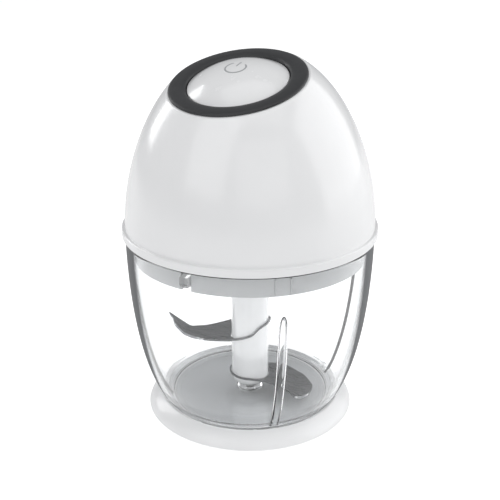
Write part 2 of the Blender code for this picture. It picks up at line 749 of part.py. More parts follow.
def make_gearbox():
    ears = [circle(SCREW_HOLE, 12, *polar(EAR_CIRCLE, angle)) for angle in PLANET_ANGLES]
    housing = extruded("gearbox_housing", [eared_disc(), ring_gear_hole(), *ears], 105.3, HOUSING_TOP, ACETAL)
    floor = extruded_cutter("gearbox_floor", [eared_disc(), circle(3.6, 16), *ears], HOUSING_LOW, 105.8)
    join(housing, floor)
    lid = extruded("gearbox_lid", [eared_disc(), circle(4.6, 20), *ears], HOUSING_TOP + GAP, LID_TOP, NYLON)
    for index, x in enumerate((-8, 8), 1):
        sink = [(0, 118.0), (SCREW_HOLE, 118.0), (SCREW_HOLE, 116.6), (2.5, 116.6), (2.5, 114.0), (0, 114.0)]
        lid = cut(lid, turned_cutter(f"sink_{index}", sink, 12, (x, 0, 0)))
        screw_points = [(0, 121.0), (1.2, 121.0), (1.2, 116.3), (2.2, 116.3), (2.2, 115.5), (0, 115.5)]
        turned(f"motor_screw_{index}", screw_points, STEEL, steps=12, at=(x, 0, 0))
    for index, angle in enumerate(PLANET_ANGLES, 1):
        x, y = polar(EAR_CIRCLE, angle)
        points = [(0, 119.6), (2.0, 119.6), (2.6, 119.0), (2.6, 117.6), (SCREW_R, 117.6), (SCREW_R, 96.0), (0, 95.0)]
        turned(f"gearbox_screw_{index}", points, STEEL, steps=12, at=(x, y, 0))
    make_gears()


def make_gears():
    bore = circle(1.8, 16)
    extruded("sun_gear", [outer_gear(SUN_TEETH, 0), bore], GEAR_LOW, GEAR_TOP + 0.6, BRASS)
    for index, angle in enumerate(PLANET_ANGLES, 1):
        x, y = polar(PLANET_CIRCLE, angle)
        start = angle + 180 / PLANET_TEETH
        extruded(f"planet_gear_{index}", [outer_gear(PLANET_TEETH, start), bore], GEAR_LOW, GEAR_TOP, STEEL, at=(x, y))
    body = [(0, 108.0), (15.2, 108.0), (15.2, 106.1), (3.0, 106.1), (3.0, 90.4), (0, 90.4)]
    carrier = turned("planet_carrier", body, STEEL, steps=20)
    for index, angle in enumerate(PLANET_ANGLES):
        x, y = polar(PLANET_CIRCLE, angle)
        carrier = join(carrier, rod_cutter(f"planet_pin_{index}", x, y, 1.5, 107.5, 114.3, 12))
    coupling = extruded("drive_coupling", [hexagon(HEX_FLATS)], 84.0, 95.5, NYLON)
    coupling = join(coupling, rod_cutter("coupling_flange", 0, 0, 7.0, 95.2, 96.9, 24))
    cut(coupling, rod_cutter("coupling_bore", 0, 0, 3.3, 90.0, 98.0, 16))
    turned("output_bearing", tube_profile(7.4, 3.1, 99.9, 103.2), BRASS, steps=20)
    turned("shaft_seal", tube_profile(5.0, 3.1, 97.7, 99.3), RUBBER, steps=20)


def make_motor():
    bottom = MOTOR_LOW
    can = [(MOTOR_R, MOTOR_TOP), (MOTOR_R, bottom + 0.8), (MOTOR_R - 0.8, bottom), (4.2, bottom), (4.2, bottom + 1.2)]
    can += [(MOTOR_R - 1.2, bottom + 1.2), (MOTOR_R - 1.2, MOTOR_TOP)]
    can = turned("motor_can", can, STEEL, steps=24)
    for index, x in enumerate((-8, 8)):
        can = cut(can, rod_cutter(f"can_hole_{index}", x, 0, 1.5, 116.0, 120.0, 12))
    cap = [(14.0, 157.6), (MOTOR_R - 0.5, 157.0), (MOTOR_R, 156.4), (MOTOR_R, MOTOR_TOP + GAP)]
    cap += [(2.6, MOTOR_TOP + GAP), (2.6, 157.6)]
    turned("motor_end_cap", cap, NYLON, steps=24)
    shaft = [(0, 158.6), (1.5, 158.6), (1.5, 148.0), (12.0, 148.0), (12.0, 124.0), (1.5, 124.0), (1.5, 108.6), (0, 108.6)]
    turned("motor_rotor", shaft, STEEL, steps=16)


# ---------------------------------------------------------------- electrics


def make_electrics():
    for side, sign in (("left", -1), ("right", 1)):
        x = sign * CELL_X
        low = PLATE_TOP + GAP
        cup = [(11.0, 112), (11.0, low), (0, low), (0, low + 2), (9.6, low + 2), (9.6, 112)]
        turned(f"battery_cup_{side}", cup, NYLON, steps=16, at=(x, CELL_Y, 0))
        base = low + 2 + GAP
        top = base + CELL_LENGTH
        cell = [(0, top + 0.8), (2.6, top + 0.8), (2.6, top), (CELL_R - 0.5, top), (CELL_R, top - 0.5)]
        cell += [(CELL_R, base), (0, base)]
        turned(f"battery_cell_{side}", cell, WRAP, steps=16, at=(x, CELL_Y, 0))
        route = [(sign * 14, -0.3, 169.7), (sign * 14, 0.3, 166.5), (sign * 22, 4, 160), (sign * 31, 7.4, 152)]
        route += [(x, CELL_Y, top + 1.9)]
        wire(f"battery_lead_{side}", smooth_path(route, 9), 0.8, RED if sign > 0 else BLACK)
        route = [(sign * 7, -0.3, 169.7), (sign * 7, 0.0, 166.5), (sign * 7, 0.5, 162), (sign * 7, 0.5, 158.0)]
        wire(f"motor_lead_{side}", smooth_path(route, 6), 0.8, RED if sign > 0 else BLACK)
    make_interlock()
    make_port()


def make_interlock():
    low = 96.3
    stem = [(0, 113.9), (1.2, 113.9), (1.2, 105.0), (2.7, 105.0), (2.7, 104.0), (PLUNGER_R, 104.0)]
    stem += [(PLUNGER_R, low + 0.8), (PLUNGER_R - 0.8, low), (0, low)]
    turned("interlock_plunger", stem, ACETAL, steps=16, at=(0, PLUNGER_Y, 0))
    turns = 5
    sides = 8
    coil = []
    for step in range(turns * sides + 1):
        x, y = polar(2.1, 360 * step / sides)
        coil.append((x, y + PLUNGER_Y, 105.7 + (111.2 - 105.7) * step / (turns * sides)))
    wire("interlock_spring", coil, 0.28, STEEL, resolution=0)
    body = box_mesh("interlock_switch", (-9.1, -58.0, 116.9), (3.8, -53.0, 123.0))
    add("interlock_switch", body, NYLON)


def make_port():
    add("charge_board", box_mesh("charge_board", (-8, 50, 108.4), (8, 58.4, 109.8)), BOARD)
    socket = add("charge_socket", box_mesh("charge_socket", (-4.5, 54, 110.1), (4.5, 61.4, 113.5)), STEEL)
    cut(socket, cutter("socket_mouth", box_mesh("socket_mouth", (-3.8, 55.2, 110.7), (3.8, 63, 112.9))))


make_foot()
make_bowl()
make_cutter()
make_base_cover()
make_shell()
make_head_details()
make_button()
make_gearbox()
make_motor()
make_electrics()
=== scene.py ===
"""A cordless mini food processor: clear bowl on a flared foot, egg-shaped motor head, leaning power button.

Lengths are written in millimetres and turned into metres where meshes are made. +Z is up and -Y is the front.
"""

import json
import math

import bmesh
import bpy
from mathutils import Matrix, Vector


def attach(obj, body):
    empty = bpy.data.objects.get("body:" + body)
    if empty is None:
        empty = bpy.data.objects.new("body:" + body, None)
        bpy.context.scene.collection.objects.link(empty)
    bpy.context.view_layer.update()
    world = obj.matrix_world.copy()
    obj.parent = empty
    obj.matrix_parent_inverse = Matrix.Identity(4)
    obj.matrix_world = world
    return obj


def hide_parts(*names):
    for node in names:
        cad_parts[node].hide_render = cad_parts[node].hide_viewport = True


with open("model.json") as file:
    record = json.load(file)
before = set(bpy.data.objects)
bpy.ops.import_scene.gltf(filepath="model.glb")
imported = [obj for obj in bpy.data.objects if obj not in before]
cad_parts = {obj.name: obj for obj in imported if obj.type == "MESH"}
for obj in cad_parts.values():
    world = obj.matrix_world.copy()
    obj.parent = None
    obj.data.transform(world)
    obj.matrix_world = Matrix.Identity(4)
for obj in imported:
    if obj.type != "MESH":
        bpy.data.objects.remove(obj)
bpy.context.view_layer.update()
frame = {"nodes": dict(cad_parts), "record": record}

MM = 0.001
NODES = frame["nodes"]

# Foot and bowl
SOCKET_R = 47.8
FOOT_TOP = 8.6
FOOT_R = 55.3
FOOT_LOW = 0.8
FOOT_HOLLOW = 2.6  # height of the hollow under the foot
SOCKET_FLOOR = 4.6
SEAT = 6.0
PAD_R = 41.4
PAD_LOW = 4.9
PAD_TOP = 6.6
PAD_GROOVE_R = 38.4
GRIP_TABS = 10
GRIP_TAB_START = -93
GRIP_TAB_IN = 47.1
GRIP_TAB_HALF = 1.0
GRIP_TAB_LOW = 7.0
GRIP_TAB_TOP = 8.35
TREAD_GROOVES = 5
TREAD_PITCH = 1.4
TREAD_START = 44.6
BOWL_R = 64.33
BOWL_REACH = 104.86  # depth of the whole superellipse below a height of 100
BOWL_BELLY = 1.95
BOWL_CORNER = 4.64
BOWL_RIM = 99.6
BOWL_WALL = 3.0
BOWL_FLOOR = 8.5
BOWL_UNDER = 6.9
BOWL_STEPS = 44  # rows of faces up the wall
OUTER_LOW = 9.4
OUTER_TOP = 98.9
INNER_LOW = 12.9
INNER_TOP = 98.6
BOSS_TOP = 10.7
PIN_BORE = 2.3
PIN_SEAT = 7.6
KEY_HALF = 2.3
KEY_LOW = 90.5
KEY_HIGH = 95.6
KEY_IN = 55.2
KEY_OUT = 62.4
KEY_REACH = 60.6  # the key's faces nearer the axis than this are frosted
WALL_LOW = 12.0
WALL_HIGH = 97.5
WALL_SLACK = 0.3  # how far a face of the wall may lie from the wall's curve
RIB_R = 2.4
RIB_DEPTH = 0.62  # share of its radius that a rib stands out by
RIB_TOP = 78.0
RIB_TAPER = 12.0
RIB_STEPS = 47
RIB_ANGLES = (45, 135, 225, 315)

# Cutter
HUB_R = 10.1
HUB_LOW = 12.0
HUB_TOP = 94.0
HUB_BORE = 4.0
HUB_SOCKET = 8.2
CUTTER_TURN = math.radians(30)
BLADE_RING = 11.2
BLADE_HOLE = 10.45
BLADE_GAUGE = 1.0
EDGE_GAUGE = 0.18  # what the grinding leaves at the cutting edge
FOLD_SOFT = 1.3  # half the width that a fold is rounded over
UPPER_GRIND = 0.9
LOWER_GRIND = 1.4
UPPER_LEAN = math.radians(-16.7)
PIN_R = 2.0
PIN_TOP = 70.0

# Head
COLLAR_R = 59.5
COLLAR_LOW = 88.0
COLLAR_WALL = 2.2
GUIDE_SPREAD = 3.65  # degrees from a rib of the bowl to the guide on either side of it
PLATE_LOW = 90.0
PLATE_TOP = 92.2
COVER_R = 61.7
COVER_TOP = 103.6
LIP_R = 66.0
LIP_LOW = 99.9
LIP_TOP = 104.1
SHELL_BORE = 62.0
DOME_R = 64.274
DOME_LOW = 106.5
DOME_RISE = 86.93
DOME_BELLY = 1.707
DOME_CORNER = 2.349
SHELL_WALL = 2.4
SHELL_STEPS = 240  # round the dome
SHELL_CLIMB = 44  # up its outside
SHELL_CLIMB_INSIDE = 24
LEAN = math.radians(16.8)
RING_CENTRE = Vector((0, -11.9, 179.9))
CUT_DEPTH = -1.2
FLAP_HALF = 7.7
FLAP_LOW = 107.2
FLAP_TOP = 116.7
FLAP_GAUGE = 1.3
FLAP_CORNER = 2.0
GAP = 0.3
PORT_Z = 112.0
SWITCH_Y = -56.5  # axis of the interlock plunger

# Button and ring, above the ring's plane
CAP_R = 25.0
CAP_RISE = 7.8
CAP_SINK = 1.2  # how far the cap's edge lies below the ring's plane
CAP_CROWN = 24.2  # where the dome turns over into the cap's side
RING_BORE = 25.45
SYMBOL_R = 5.1
SYMBOL_HALF = 0.42
SYMBOL_LIFT = 0.14
SYMBOL_START = 128
SYMBOL_END = 412
BAR_LOW = 0.9
BAR_LENGTH = 5.0

# Stage, in metres
LAMP_AIM = (0, 0, 0.1)
CAMERA_AZIMUTH = 30.0
CAMERA_AT = Vector((0.23622, -0.40915, 0.27683))
CAMERA_TARGET = Vector((0, 0, 0.087886))
CAMERA_LENS = 69.96
SENSOR_WIDTH = 36
FLOOR_HALF = 4
FLOOR_LIGHT = 0.14
FLOOR_GLOW = 0.45
WORLD_LIGHT = 0.40
WORLD_SEEN = 1.05

LEAN_FRAME = Matrix.Translation(RING_CENTRE) @ Matrix.Rotation(LEAN, 4, "X")
CUTTER_FRAME = Matrix.Rotation(CUTTER_TURN, 4, "Z")


# ---------------------------------------------------------------- curves shared with the frame


def bowl_radius(z):
    """Outside radius of the bowl: a quarter of a superellipse from the rim down."""
    depth = (100 - z) / BOWL_REACH
    return BOWL_R * (1 - depth**BOWL_BELLY) ** (1 / BOWL_CORNER)


def dome_radius(z, inset=0.0):
    """Radius of the egg-shaped shell: a quarter of a superellipse from the lip up."""
    rise = min(max((z - DOME_LOW) / (DOME_RISE - inset), 0), 1)
    return (DOME_R - inset) * (1 - rise**DOME_BELLY) ** (1 / DOME_CORNER)


def polar(radius, degrees):
    angle = math.radians(degrees)
    return radius * math.cos(angle), radius * math.sin(angle)


def arc(radius, start, end, count):
    return [polar(radius, start + (end - start) * i / count) for i in range(count + 1)]


# ---------------------------------------------------------------- mesh tools


def new_piece(name, cage, sharp=35):
    """A mesh object from a bmesh in millimetres, smooth except along edges sharper than the given angle."""
    bmesh.ops.recalc_face_normals(cage, faces=cage.faces)
    bmesh.ops.transform(cage, matrix=Matrix.Scale(MM, 4), verts=cage.verts)
    mesh = bpy.data.meshes.new(name)
    cage.to_mesh(mesh)
    cage.free()
    mesh.shade_smooth()
    mesh.set_sharp_from_angle(angle=math.radians(sharp))
    obj = bpy.data.objects.new(name, mesh)
    bpy.context.scene.collection.objects.link(obj)
    return obj


def eased(points, arc=4):
    """Rounds the corners of a profile. A point is (radius, height) or (radius, height, rounding)."""
    found = []
    count = len(points)
    for index, point in enumerate(points):
        here = Vector(point[:2])
        rounding = point[2] if len(point) > 2 else 0
        before = Vector(points[index - 1][:2])
        after = Vector(points[(index + 1) % count][:2])
        if not rounding:
            found.append(tuple(here))
            continue
        back = (before - here).normalized() * min(rounding, (before - here).length * 0.49)
        ahead = (after - here).normalized() * min(rounding, (after - here).length * 0.49)
        for step in range(arc + 1):
            t = step / arc
            place = (here + back) * (1 - t) ** 2 + here * 2 * t * (1 - t) + (here + ahead) * t * t
            found.append(tuple(place))
    return found


def lathe(name, points, steps=144, placing=None, sharp=35):
    """A turned piece from a profile. The profile is a loop, or a line with both ends on the axis."""
    cage = bmesh.new()
    rows = []
    for radius, height in points:
        if radius < 1e-6:
            rows.append([cage.verts.new((0, 0, height))])
        else:
            rows.append([cage.verts.new((*polar(radius, 360 * i / steps), height)) for i in range(steps)])
    open_line = len(rows[0]) == 1 and len(rows[-1]) == 1
    pairs = list(zip(rows, rows[1:]))
    if not open_line:
        pairs.append((rows[-1], rows[0]))
    for first, second in pairs:
        for i in range(steps):
            j = (i + 1) % steps
            near = (first[i % len(first)], first[j % len(first)])
            far = (second[j % len(second)], second[i % len(second)])
            face = list(dict.fromkeys(near + far))
            if len(face) > 2:
                cage.faces.new(face)
    if placing is not None:
        bmesh.ops.transform(cage, matrix=placing, verts=cage.verts)
    return new_piece(name, cage, sharp)


def box(name, low, high, round_by=0.0, turn=0.0):
    """A block with rounded edges, between two corners, turned about the Z axis by degrees."""
    cage = bmesh.new()
    size = Vector(high) - Vector(low)
    centre = (Vector(high) + Vector(low)) / 2
    bmesh.ops.create_cube(cage, size=1, matrix=Matrix.Translation(centre) @ Matrix.Diagonal((*size, 1)))
    if round_by:
        bmesh.ops.bevel(cage, geom=cage.edges[:], offset=round_by, segments=3, affect="EDGES", profile=0.6)
    bmesh.ops.transform(cage, matrix=Matrix.Rotation(math.radians(turn), 4, "Z"), verts=cage.verts)
    return new_piece(name, cage)


def combine(obj, others, operation, sharp=35):
    """Adds or removes the other pieces, which are then deleted."""
    for other in others:
        step = obj.modifiers.new("step", "BOOLEAN")
        step.operation = operation
        step.object = other
        step.solver = "EXACT"
    bpy.context.view_layer.update()
    graph = bpy.context.evaluated_depsgraph_get()
    mesh = bpy.data.meshes.new_from_object(obj.evaluated_get(graph))
    obj.modifiers.clear()
    obj.data = mesh
    for other in others:
        bpy.data.objects.remove(other)
    mesh.shade_smooth()
    mesh.set_sharp_from_angle(angle=math.radians(sharp))
    return obj


def tube(name, path, radii, sides=20, depth=1.0):
    """A rising rod through the points with its own radius at each, closed at both ends.

    depth flattens it towards the axis of the bowl.
    """
    cage = bmesh.new()
    rows = []
    for index, centre in enumerate(path):
        along = (path[min(index + 1, len(path) - 1)] - path[max(index - 1, 0)]).normalized()
        across = along.cross(Vector((0, 0, 1))).normalized()
        other = across.cross(along)
        row = []
        for side in range(sides):
            dx, dy = polar(radii[index], 360 * side / sides)
            row.append(cage.verts.new(centre + across * dx + other * dy * depth))
        rows.append(row)
    for first, second in zip(rows, rows[1:]):
        for i in range(sides):
            j = (i + 1) % sides
            cage.faces.new((first[i], first[j], second[j], second[i]))
    cage.faces.new(rows[0])
    cage.faces.new(rows[-1])
    return new_piece(name, cage)


def smooth_line(points, each=6):
    """Points along a Catmull-Rom curve through the given ones."""
    path = [Vector(point) for point in points]
    ends = [2 * path[0] - path[1], *path, 2 * path[-1] - path[-2]]
    found = []
    for index in range(len(path) - 1):
        a, b, c, d = ends[index : index + 4]
        for step in range(each):
            t = step / each
            square = 2 * a - 5 * b + 4 * c - d
            cube = 3 * b - a - 3 * c + d
            found.append(0.5 * (2 * b + (c - a) * t + square * t**2 + cube * t**3))
    found.append(path[-1])
    return found


# ---------------------------------------------------------------- materials


class Finish:
    """A Principled material whose colour, roughness and bump come from procedural texture."""

    def __init__(self, name, roughness, metallic=0.0, **constants):
        self.material = bpy.data.materials.new(name)
        self.material.use_nodes = True
        self.tree = self.material.node_tree
        self.shader = self.tree.nodes["Principled BSDF"]
        self.shader.inputs["Roughness"].default_value = roughness
        self.shader.inputs["Metallic"].default_value = metallic
        for key, value in constants.items():
            self.shader.inputs[key.replace("_", " ")].default_value = value
        self.place = self.tree.nodes.new("ShaderNodeTexCoord").outputs["Object"]
        self.bumped = None

    def stretched(self, scale):
        mapping = self.tree.nodes.new("ShaderNodeMapping")
        mapping.inputs["Scale"].default_value = scale
        self.tree.links.new(self.place, mapping.inputs["Vector"])
        return mapping.outputs["Vector"]

    def noise(self, scale, detail=3.0, rough=0.5, place=None):
        node = self.tree.nodes.new("ShaderNodeTexNoise")
        node.inputs["Scale"].default_value = scale
        node.inputs["Detail"].default_value = detail
        node.inputs["Roughness"].default_value = rough
        self.tree.links.new(place or self.place, node.inputs["Vector"])
        return node.outputs["Fac"]

    def ramp(self, value, stops):
        """stops holds (position, colour or grey) pairs."""
        node = self.tree.nodes.new("ShaderNodeValToRGB")
        elements = node.color_ramp.elements
        while len(elements) < len(stops):
            elements.new(0.5)
        for element, (position, colour) in zip(elements, stops):
            element.position = position
            if not isinstance(colour, tuple):
                colour = (colour, colour, colour)
            element.color = (*colour, 1)
        self.tree.links.new(value, node.inputs["Fac"])
        return node.outputs["Color"]

    def feed(self, name, value):
        self.tree.links.new(value, self.shader.inputs[name])
        return self

    def mottle(self, scale, dark, light, low=0.35, high=0.65):
        return self.feed("Base Color", self.ramp(self.noise(scale), [(low, dark), (high, light)]))

    def vary(self, scale, low, high):
        return self.feed("Roughness", self.ramp(self.noise(scale), [(0.3, low), (0.7, high)]))

    def streak(self, scale, detail, colours, gloss, depth):
        """Streaks in colour, gloss and relief, from noise stretched by its own scale along each axis."""
        place = self.stretched(scale)
        for name, (low, high) in (("Base Color", colours), ("Roughness", gloss)):
            self.feed(name, self.ramp(self.noise(1.0, detail, place=place), [(0.3, low), (0.7, high)]))
        return self.bump(self.noise(1.0, detail, place=place), depth)

    def bump(self, value, distance, strength=1.0):
        node = self.tree.nodes.new("ShaderNodeBump")
        node.inputs["Distance"].default_value = distance
        node.inputs["Strength"].default_value = strength
        self.tree.links.new(value, node.inputs["Height"])
        if self.bumped is not None:
            self.tree.links.new(self.bumped, node.inputs["Normal"])
        self.bumped = node.outputs["Normal"]
        self.tree.links.new(self.bumped, self.shader.inputs["Normal"])
        return self


def tinted(colour, share):
    return tuple(min(1, channel * share) for channel in colour)


def mixed(tree, share, first, second):
    """A mix of two shaders by a share from 0 to 1."""
    mix = tree.nodes.new("ShaderNodeMixShader")
    tree.links.new(share, mix.inputs["Fac"])
    tree.links.new(first, mix.inputs[1])
    tree.links.new(second, mix.inputs[2])
    return mix.outputs["Shader"]


def calculated(tree, operation, first, second):
    """The result of a sum on two values, each a socket or a number."""
    node = tree.nodes.new("ShaderNodeMath")
    node.operation = operation
    for socket, value in zip(node.inputs, (first, second)):
        if isinstance(value, float):
            socket.default_value = value
        else:
            tree.links.new(value, socket)
    return node.outputs["Value"]


def moulded(name, colour, roughness, grain=2600, depth=0.00001, spread=0.02, **constants):
    """Moulded plastic: a faint mottle, a fine grain and slightly uneven gloss."""
    made = Finish(name, roughness, **constants)
    made.mottle(38, tinted(colour, 1 - spread), colour)
    made.vary(160, roughness * 0.88, roughness * 1.12)
    made.bump(made.noise(grain, 4), depth)
    return made


def gloss_white():
    colour = (0.83, 0.832, 0.835)
    coat = {"Coat_Weight": 1.0, "Coat_Roughness": 0.16}
    return moulded("white_shell", colour, 0.32, 260, 0.0000004, 0.012, **coat).material


def button_white():
    colour = (0.84, 0.842, 0.845)
    coat = {"Coat_Weight": 1.0, "Coat_Roughness": 0.12}
    return moulded("white_button", colour, 0.25, 260, 0.0000002, 0.012, **coat).material


def foot_white():
    colour = (0.93, 0.932, 0.935)
    coat = {"Coat_Weight": 0.6, "Coat_Roughness": 0.2}
    return moulded("white_foot", colour, 0.34, 400, 0.0000008, 0.015, **coat).material


def hub_white():
    """Glossy and a little translucent."""
    coat = {"Coat_Weight": 1.0, "Coat_Roughness": 0.06, "Coat_IOR": 2.0}
    glow = {"Subsurface_Weight": 0.25, "Subsurface_Radius": (0.006, 0.006, 0.006), "Subsurface_Scale": 1.0}
    return moulded("white_hub", (0.90, 0.905, 0.91), 0.22, 400, 0.0000008, 0.015, **coat, **glow).material


def grey_collar():
    colour = (0.54, 0.55, 0.557)
    coat = {"Coat_Weight": 0.7, "Coat_Roughness": 0.22}
    return moulded("grey_collar", colour, 0.36, 1800, 0.000003, 0.03, **coat).material


def dark_ring():
    colour = (0.030, 0.031, 0.033)
    return moulded("dark_ring", colour, 0.42, 2400, 0.000008, 0.10, Specular_IOR_Level=0.4).material


def steel():
    """Rolled steel: fine streaks along the blade and slightly uneven polish."""
    made = Finish("blade_steel", 0.26, 1.0)
    colours = ((0.115, 0.118, 0.122), (0.155, 0.159, 0.163))
    return made.streak((60, 2600, 400), 4, colours, (0.24, 0.34), 0.0000025).material


def ground_edge():
    """The ground cutting edge: bright, with fine marks across it."""
    made = Finish("ground_edge", 0.16, 1.0)
    colours = ((0.60, 0.61, 0.62), (0.74, 0.75, 0.76))
    return made.streak((2400, 700, 700), 3, colours, (0.12, 0.24), 0.000003).material


def edge_on(made, upright_only):
    """How edge-on a face is seen, from 0 to 1, or how edge-on an upright wall through it would be."""
    tree = made.tree
    facing = tree.nodes.new("ShaderNodeLayerWeight")
    facing.inputs["Blend"].default_value = 0.5
    if not upright_only:
        return facing.outputs["Facing"]
    upright = tree.nodes.new("ShaderNodeVectorMath")
    upright.operation = "MULTIPLY"
    upright.inputs[1].default_value = (1, 1, 0.02)
    tree.links.new(tree.nodes["Texture Coordinate"].outputs["Normal"], upright.inputs[0])
    unit = tree.nodes.new("ShaderNodeVectorMath")
    unit.operation = "NORMALIZE"
    tree.links.new(upright.outputs["Vector"], unit.inputs[0])
    tree.links.new(unit.outputs["Vector"], facing.inputs["Normal"])
    return facing.outputs["Facing"]


# Seen edge on, the clear plastic is darkened by a lower tint and a share of matte grey: painted reflection in
# place of dark surroundings mirrored at its edges. CLEAR_TINT alone is the plastic's own tint.
CLEAR_TINT = (0.985, 0.99, 0.993)
PAINTED_EDGE_TINT = (0.80, 0.81, 0.82)
PAINTED_EDGE_GREY = (0.12, 0.125, 0.13)
BOWL_TINT_AND_EDGE_SHADE = [(0.60, CLEAR_TINT), (0.85, PAINTED_EDGE_TINT)]
BOWL_SHADE = [(0.84, 0.0), (0.97, 0.8)]
WALL_TINT_AND_EDGE_SHADE = [(0.40, CLEAR_TINT), (0.60, (0.72, 0.73, 0.74)), (0.645, (0.50, 0.51, 0.52))]
WALL_SHADE = [(0.635, 0.0), (0.67, 0.55), (0.70, 1.0)]


def clear_plastic(name, tint_and_edge_shade, shade, upright_only):
    """Clear polycarbonate with faint flow marks, which lets lamps through.

    The first ramp given is its colour and the second its share of matte grey, each from face on to edge on.
    Towards edge on both darken it: painted reflection in place of dark surroundings mirrored in the clear
    plastic.
    """
    made = Finish(name, 0.02, IOR=1.49, Transmission_Weight=1.0)
    tree = made.tree
    facing = edge_on(made, upright_only)
    made.feed("Base Color", made.ramp(facing, tint_and_edge_shade))
    made.bump(made.noise(22, 2), 0.00001)
    made.feed("Roughness", made.ramp(made.noise(300, 3), [(0.3, 0.004), (0.7, 0.02)]))
    # Matte grey mixed in where the plastic is seen edge on: painted reflection of dark surroundings.
    painted_edge = tree.nodes.new("ShaderNodeBsdfPrincipled")
    painted_edge.inputs["Base Color"].default_value = (*PAINTED_EDGE_GREY, 1)
    painted_edge.inputs["Roughness"].default_value = 0.45
    painted_edge.inputs["Specular IOR Level"].default_value = 0.1
    within = tree.nodes.new("ShaderNodeNewGeometry").outputs["Backfacing"]
    outside = calculated(tree, "SUBTRACT", 1.0, within)
    entering = calculated(tree, "MULTIPLY", made.ramp(facing, shade), outside)
    wall = mixed(tree, entering, made.shader.outputs["BSDF"], painted_edge.outputs["BSDF"])
    through = tree.nodes.new("ShaderNodeBsdfTransparent")
    through.inputs["Color"].default_value = (0.96, 0.965, 0.97, 1)
    shadow = tree.nodes.new("ShaderNodeLightPath").outputs["Is Shadow Ray"]
    seen = mixed(tree, shadow, wall, through.outputs["BSDF"])
    tree.links.new(seen, tree.nodes["Material Output"].inputs["Surface"])
    return made.material


def metal(name, colour, roughness, scale=(300, 300, 1500)):
    """Machined metal, with streaks stretched along the axis whose scale is least."""
    made = Finish(name, roughness, 1.0)
    colours = (tinted(colour, 0.88), colour)
    return made.streak(scale, 3, colours, (roughness * 0.85, roughness * 1.15), 0.000004).material


def give(obj, *materials):
    """Sets the materials slot by slot, so that faces keep their slot."""
    slots = obj.data.materials
    for index, made in enumerate(materials):
        if index < len(slots):
            slots[index] = made
        else:
            slots.append(made)
    return obj


def stand_for(obj, node, body, slot, *materials):
    """Gives a piece its materials and lets it stand for a CAD node on that node's body."""
    give(obj, *materials)
    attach(obj, body)
    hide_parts(node)
    return obj


def laminate():
    """Circuit board: green mask with the copper under it showing as darker islands."""
    made = Finish("board_laminate", 0.35, Coat_Weight=0.4)
    cells = made.tree.nodes.new("ShaderNodeTexVoronoi")
    cells.inputs["Scale"].default_value = 420
    cells.distance = "CHEBYCHEV"
    made.tree.links.new(made.place, cells.inputs["Vector"])
    islands = [(0.25, (0.02, 0.15, 0.06)), (0.35, (0.04, 0.24, 0.10))]
    made.feed("Base Color", made.ramp(cells.outputs["Distance"], islands))
    made.bump(cells.outputs["Distance"], 0.00003)
    return made.material


WHITE = gloss_white()
BUTTON = button_white()
FOOT = foot_white()
HUB = hub_white()
COLLAR = grey_collar()
DARK = dark_ring()
# The power symbol's grey is painted shade: it stands for the shade along the edges of the raised symbol,
# which is the button's own white.
SYMBOL_PAINTED_SHADE = moulded("symbol_painted_shade", (0.36, 0.37, 0.38), 0.35, 2000, 0.000004, 0.03).material
PAD = moulded("pad_elastomer", (0.66, 0.67, 0.68), 0.22, 1500, 0.000006, 0.05).material
BLADE = steel()
EDGE = ground_edge()
CLEAR = clear_plastic("clear_bowl_plastic", BOWL_TINT_AND_EDGE_SHADE, BOWL_SHADE, False)
WALL = clear_plastic("clear_bowl_wall", WALL_TINT_AND_EDGE_SHADE, WALL_SHADE, True)
LUG = moulded("frosted_lug", (0.88, 0.885, 0.89), 0.40, 1500, 0.000004, 0.04).material
SEAL = moulded("seal_elastomer", (0.62, 0.63, 0.64), 0.45, 1400, 0.000008, 0.03).material
NYLON = moulded("black_nylon", (0.035, 0.036, 0.038), 0.48, 1700, 0.00001, 0.2).material
ACETAL = moulded("natural_acetal", (0.74, 0.73, 0.69), 0.40, 1600, 0.000004, 0.03).material
PLAIN_STEEL = metal("turned_steel", (0.62, 0.63, 0.64), 0.28)

BY_SLOT = {
    "white_abs": WHITE,
    "soft_white": FOOT,
    "grey_abs": COLLAR,
    "dark_grey_abs": DARK,
    "clear_polycarbonate": CLEAR,
    "grey_elastomer": PAD,
    "steel": PLAIN_STEEL,
    "bronze": metal("sintered_bronze", (0.55, 0.42, 0.22), 0.42, (2500, 2500, 2500)),
    "nylon": NYLON,
    "acetal": ACETAL,
    "board": laminate(),
    "cell_wrap": moulded("cell_wrap", (0.05, 0.17, 0.40), 0.32, 700, 0.000006, 0.1).material,
    "red_insulation": moulded("red_insulation", (0.55, 0.03, 0.03), 0.42, 1600, 0.000006, 0.1).material,
    "black_insulation": moulded("black_insulation", (0.02, 0.02, 0.022), 0.42, 1600, 0.000006, 0.1).material,
}


# ---------------------------------------------------------------- foot


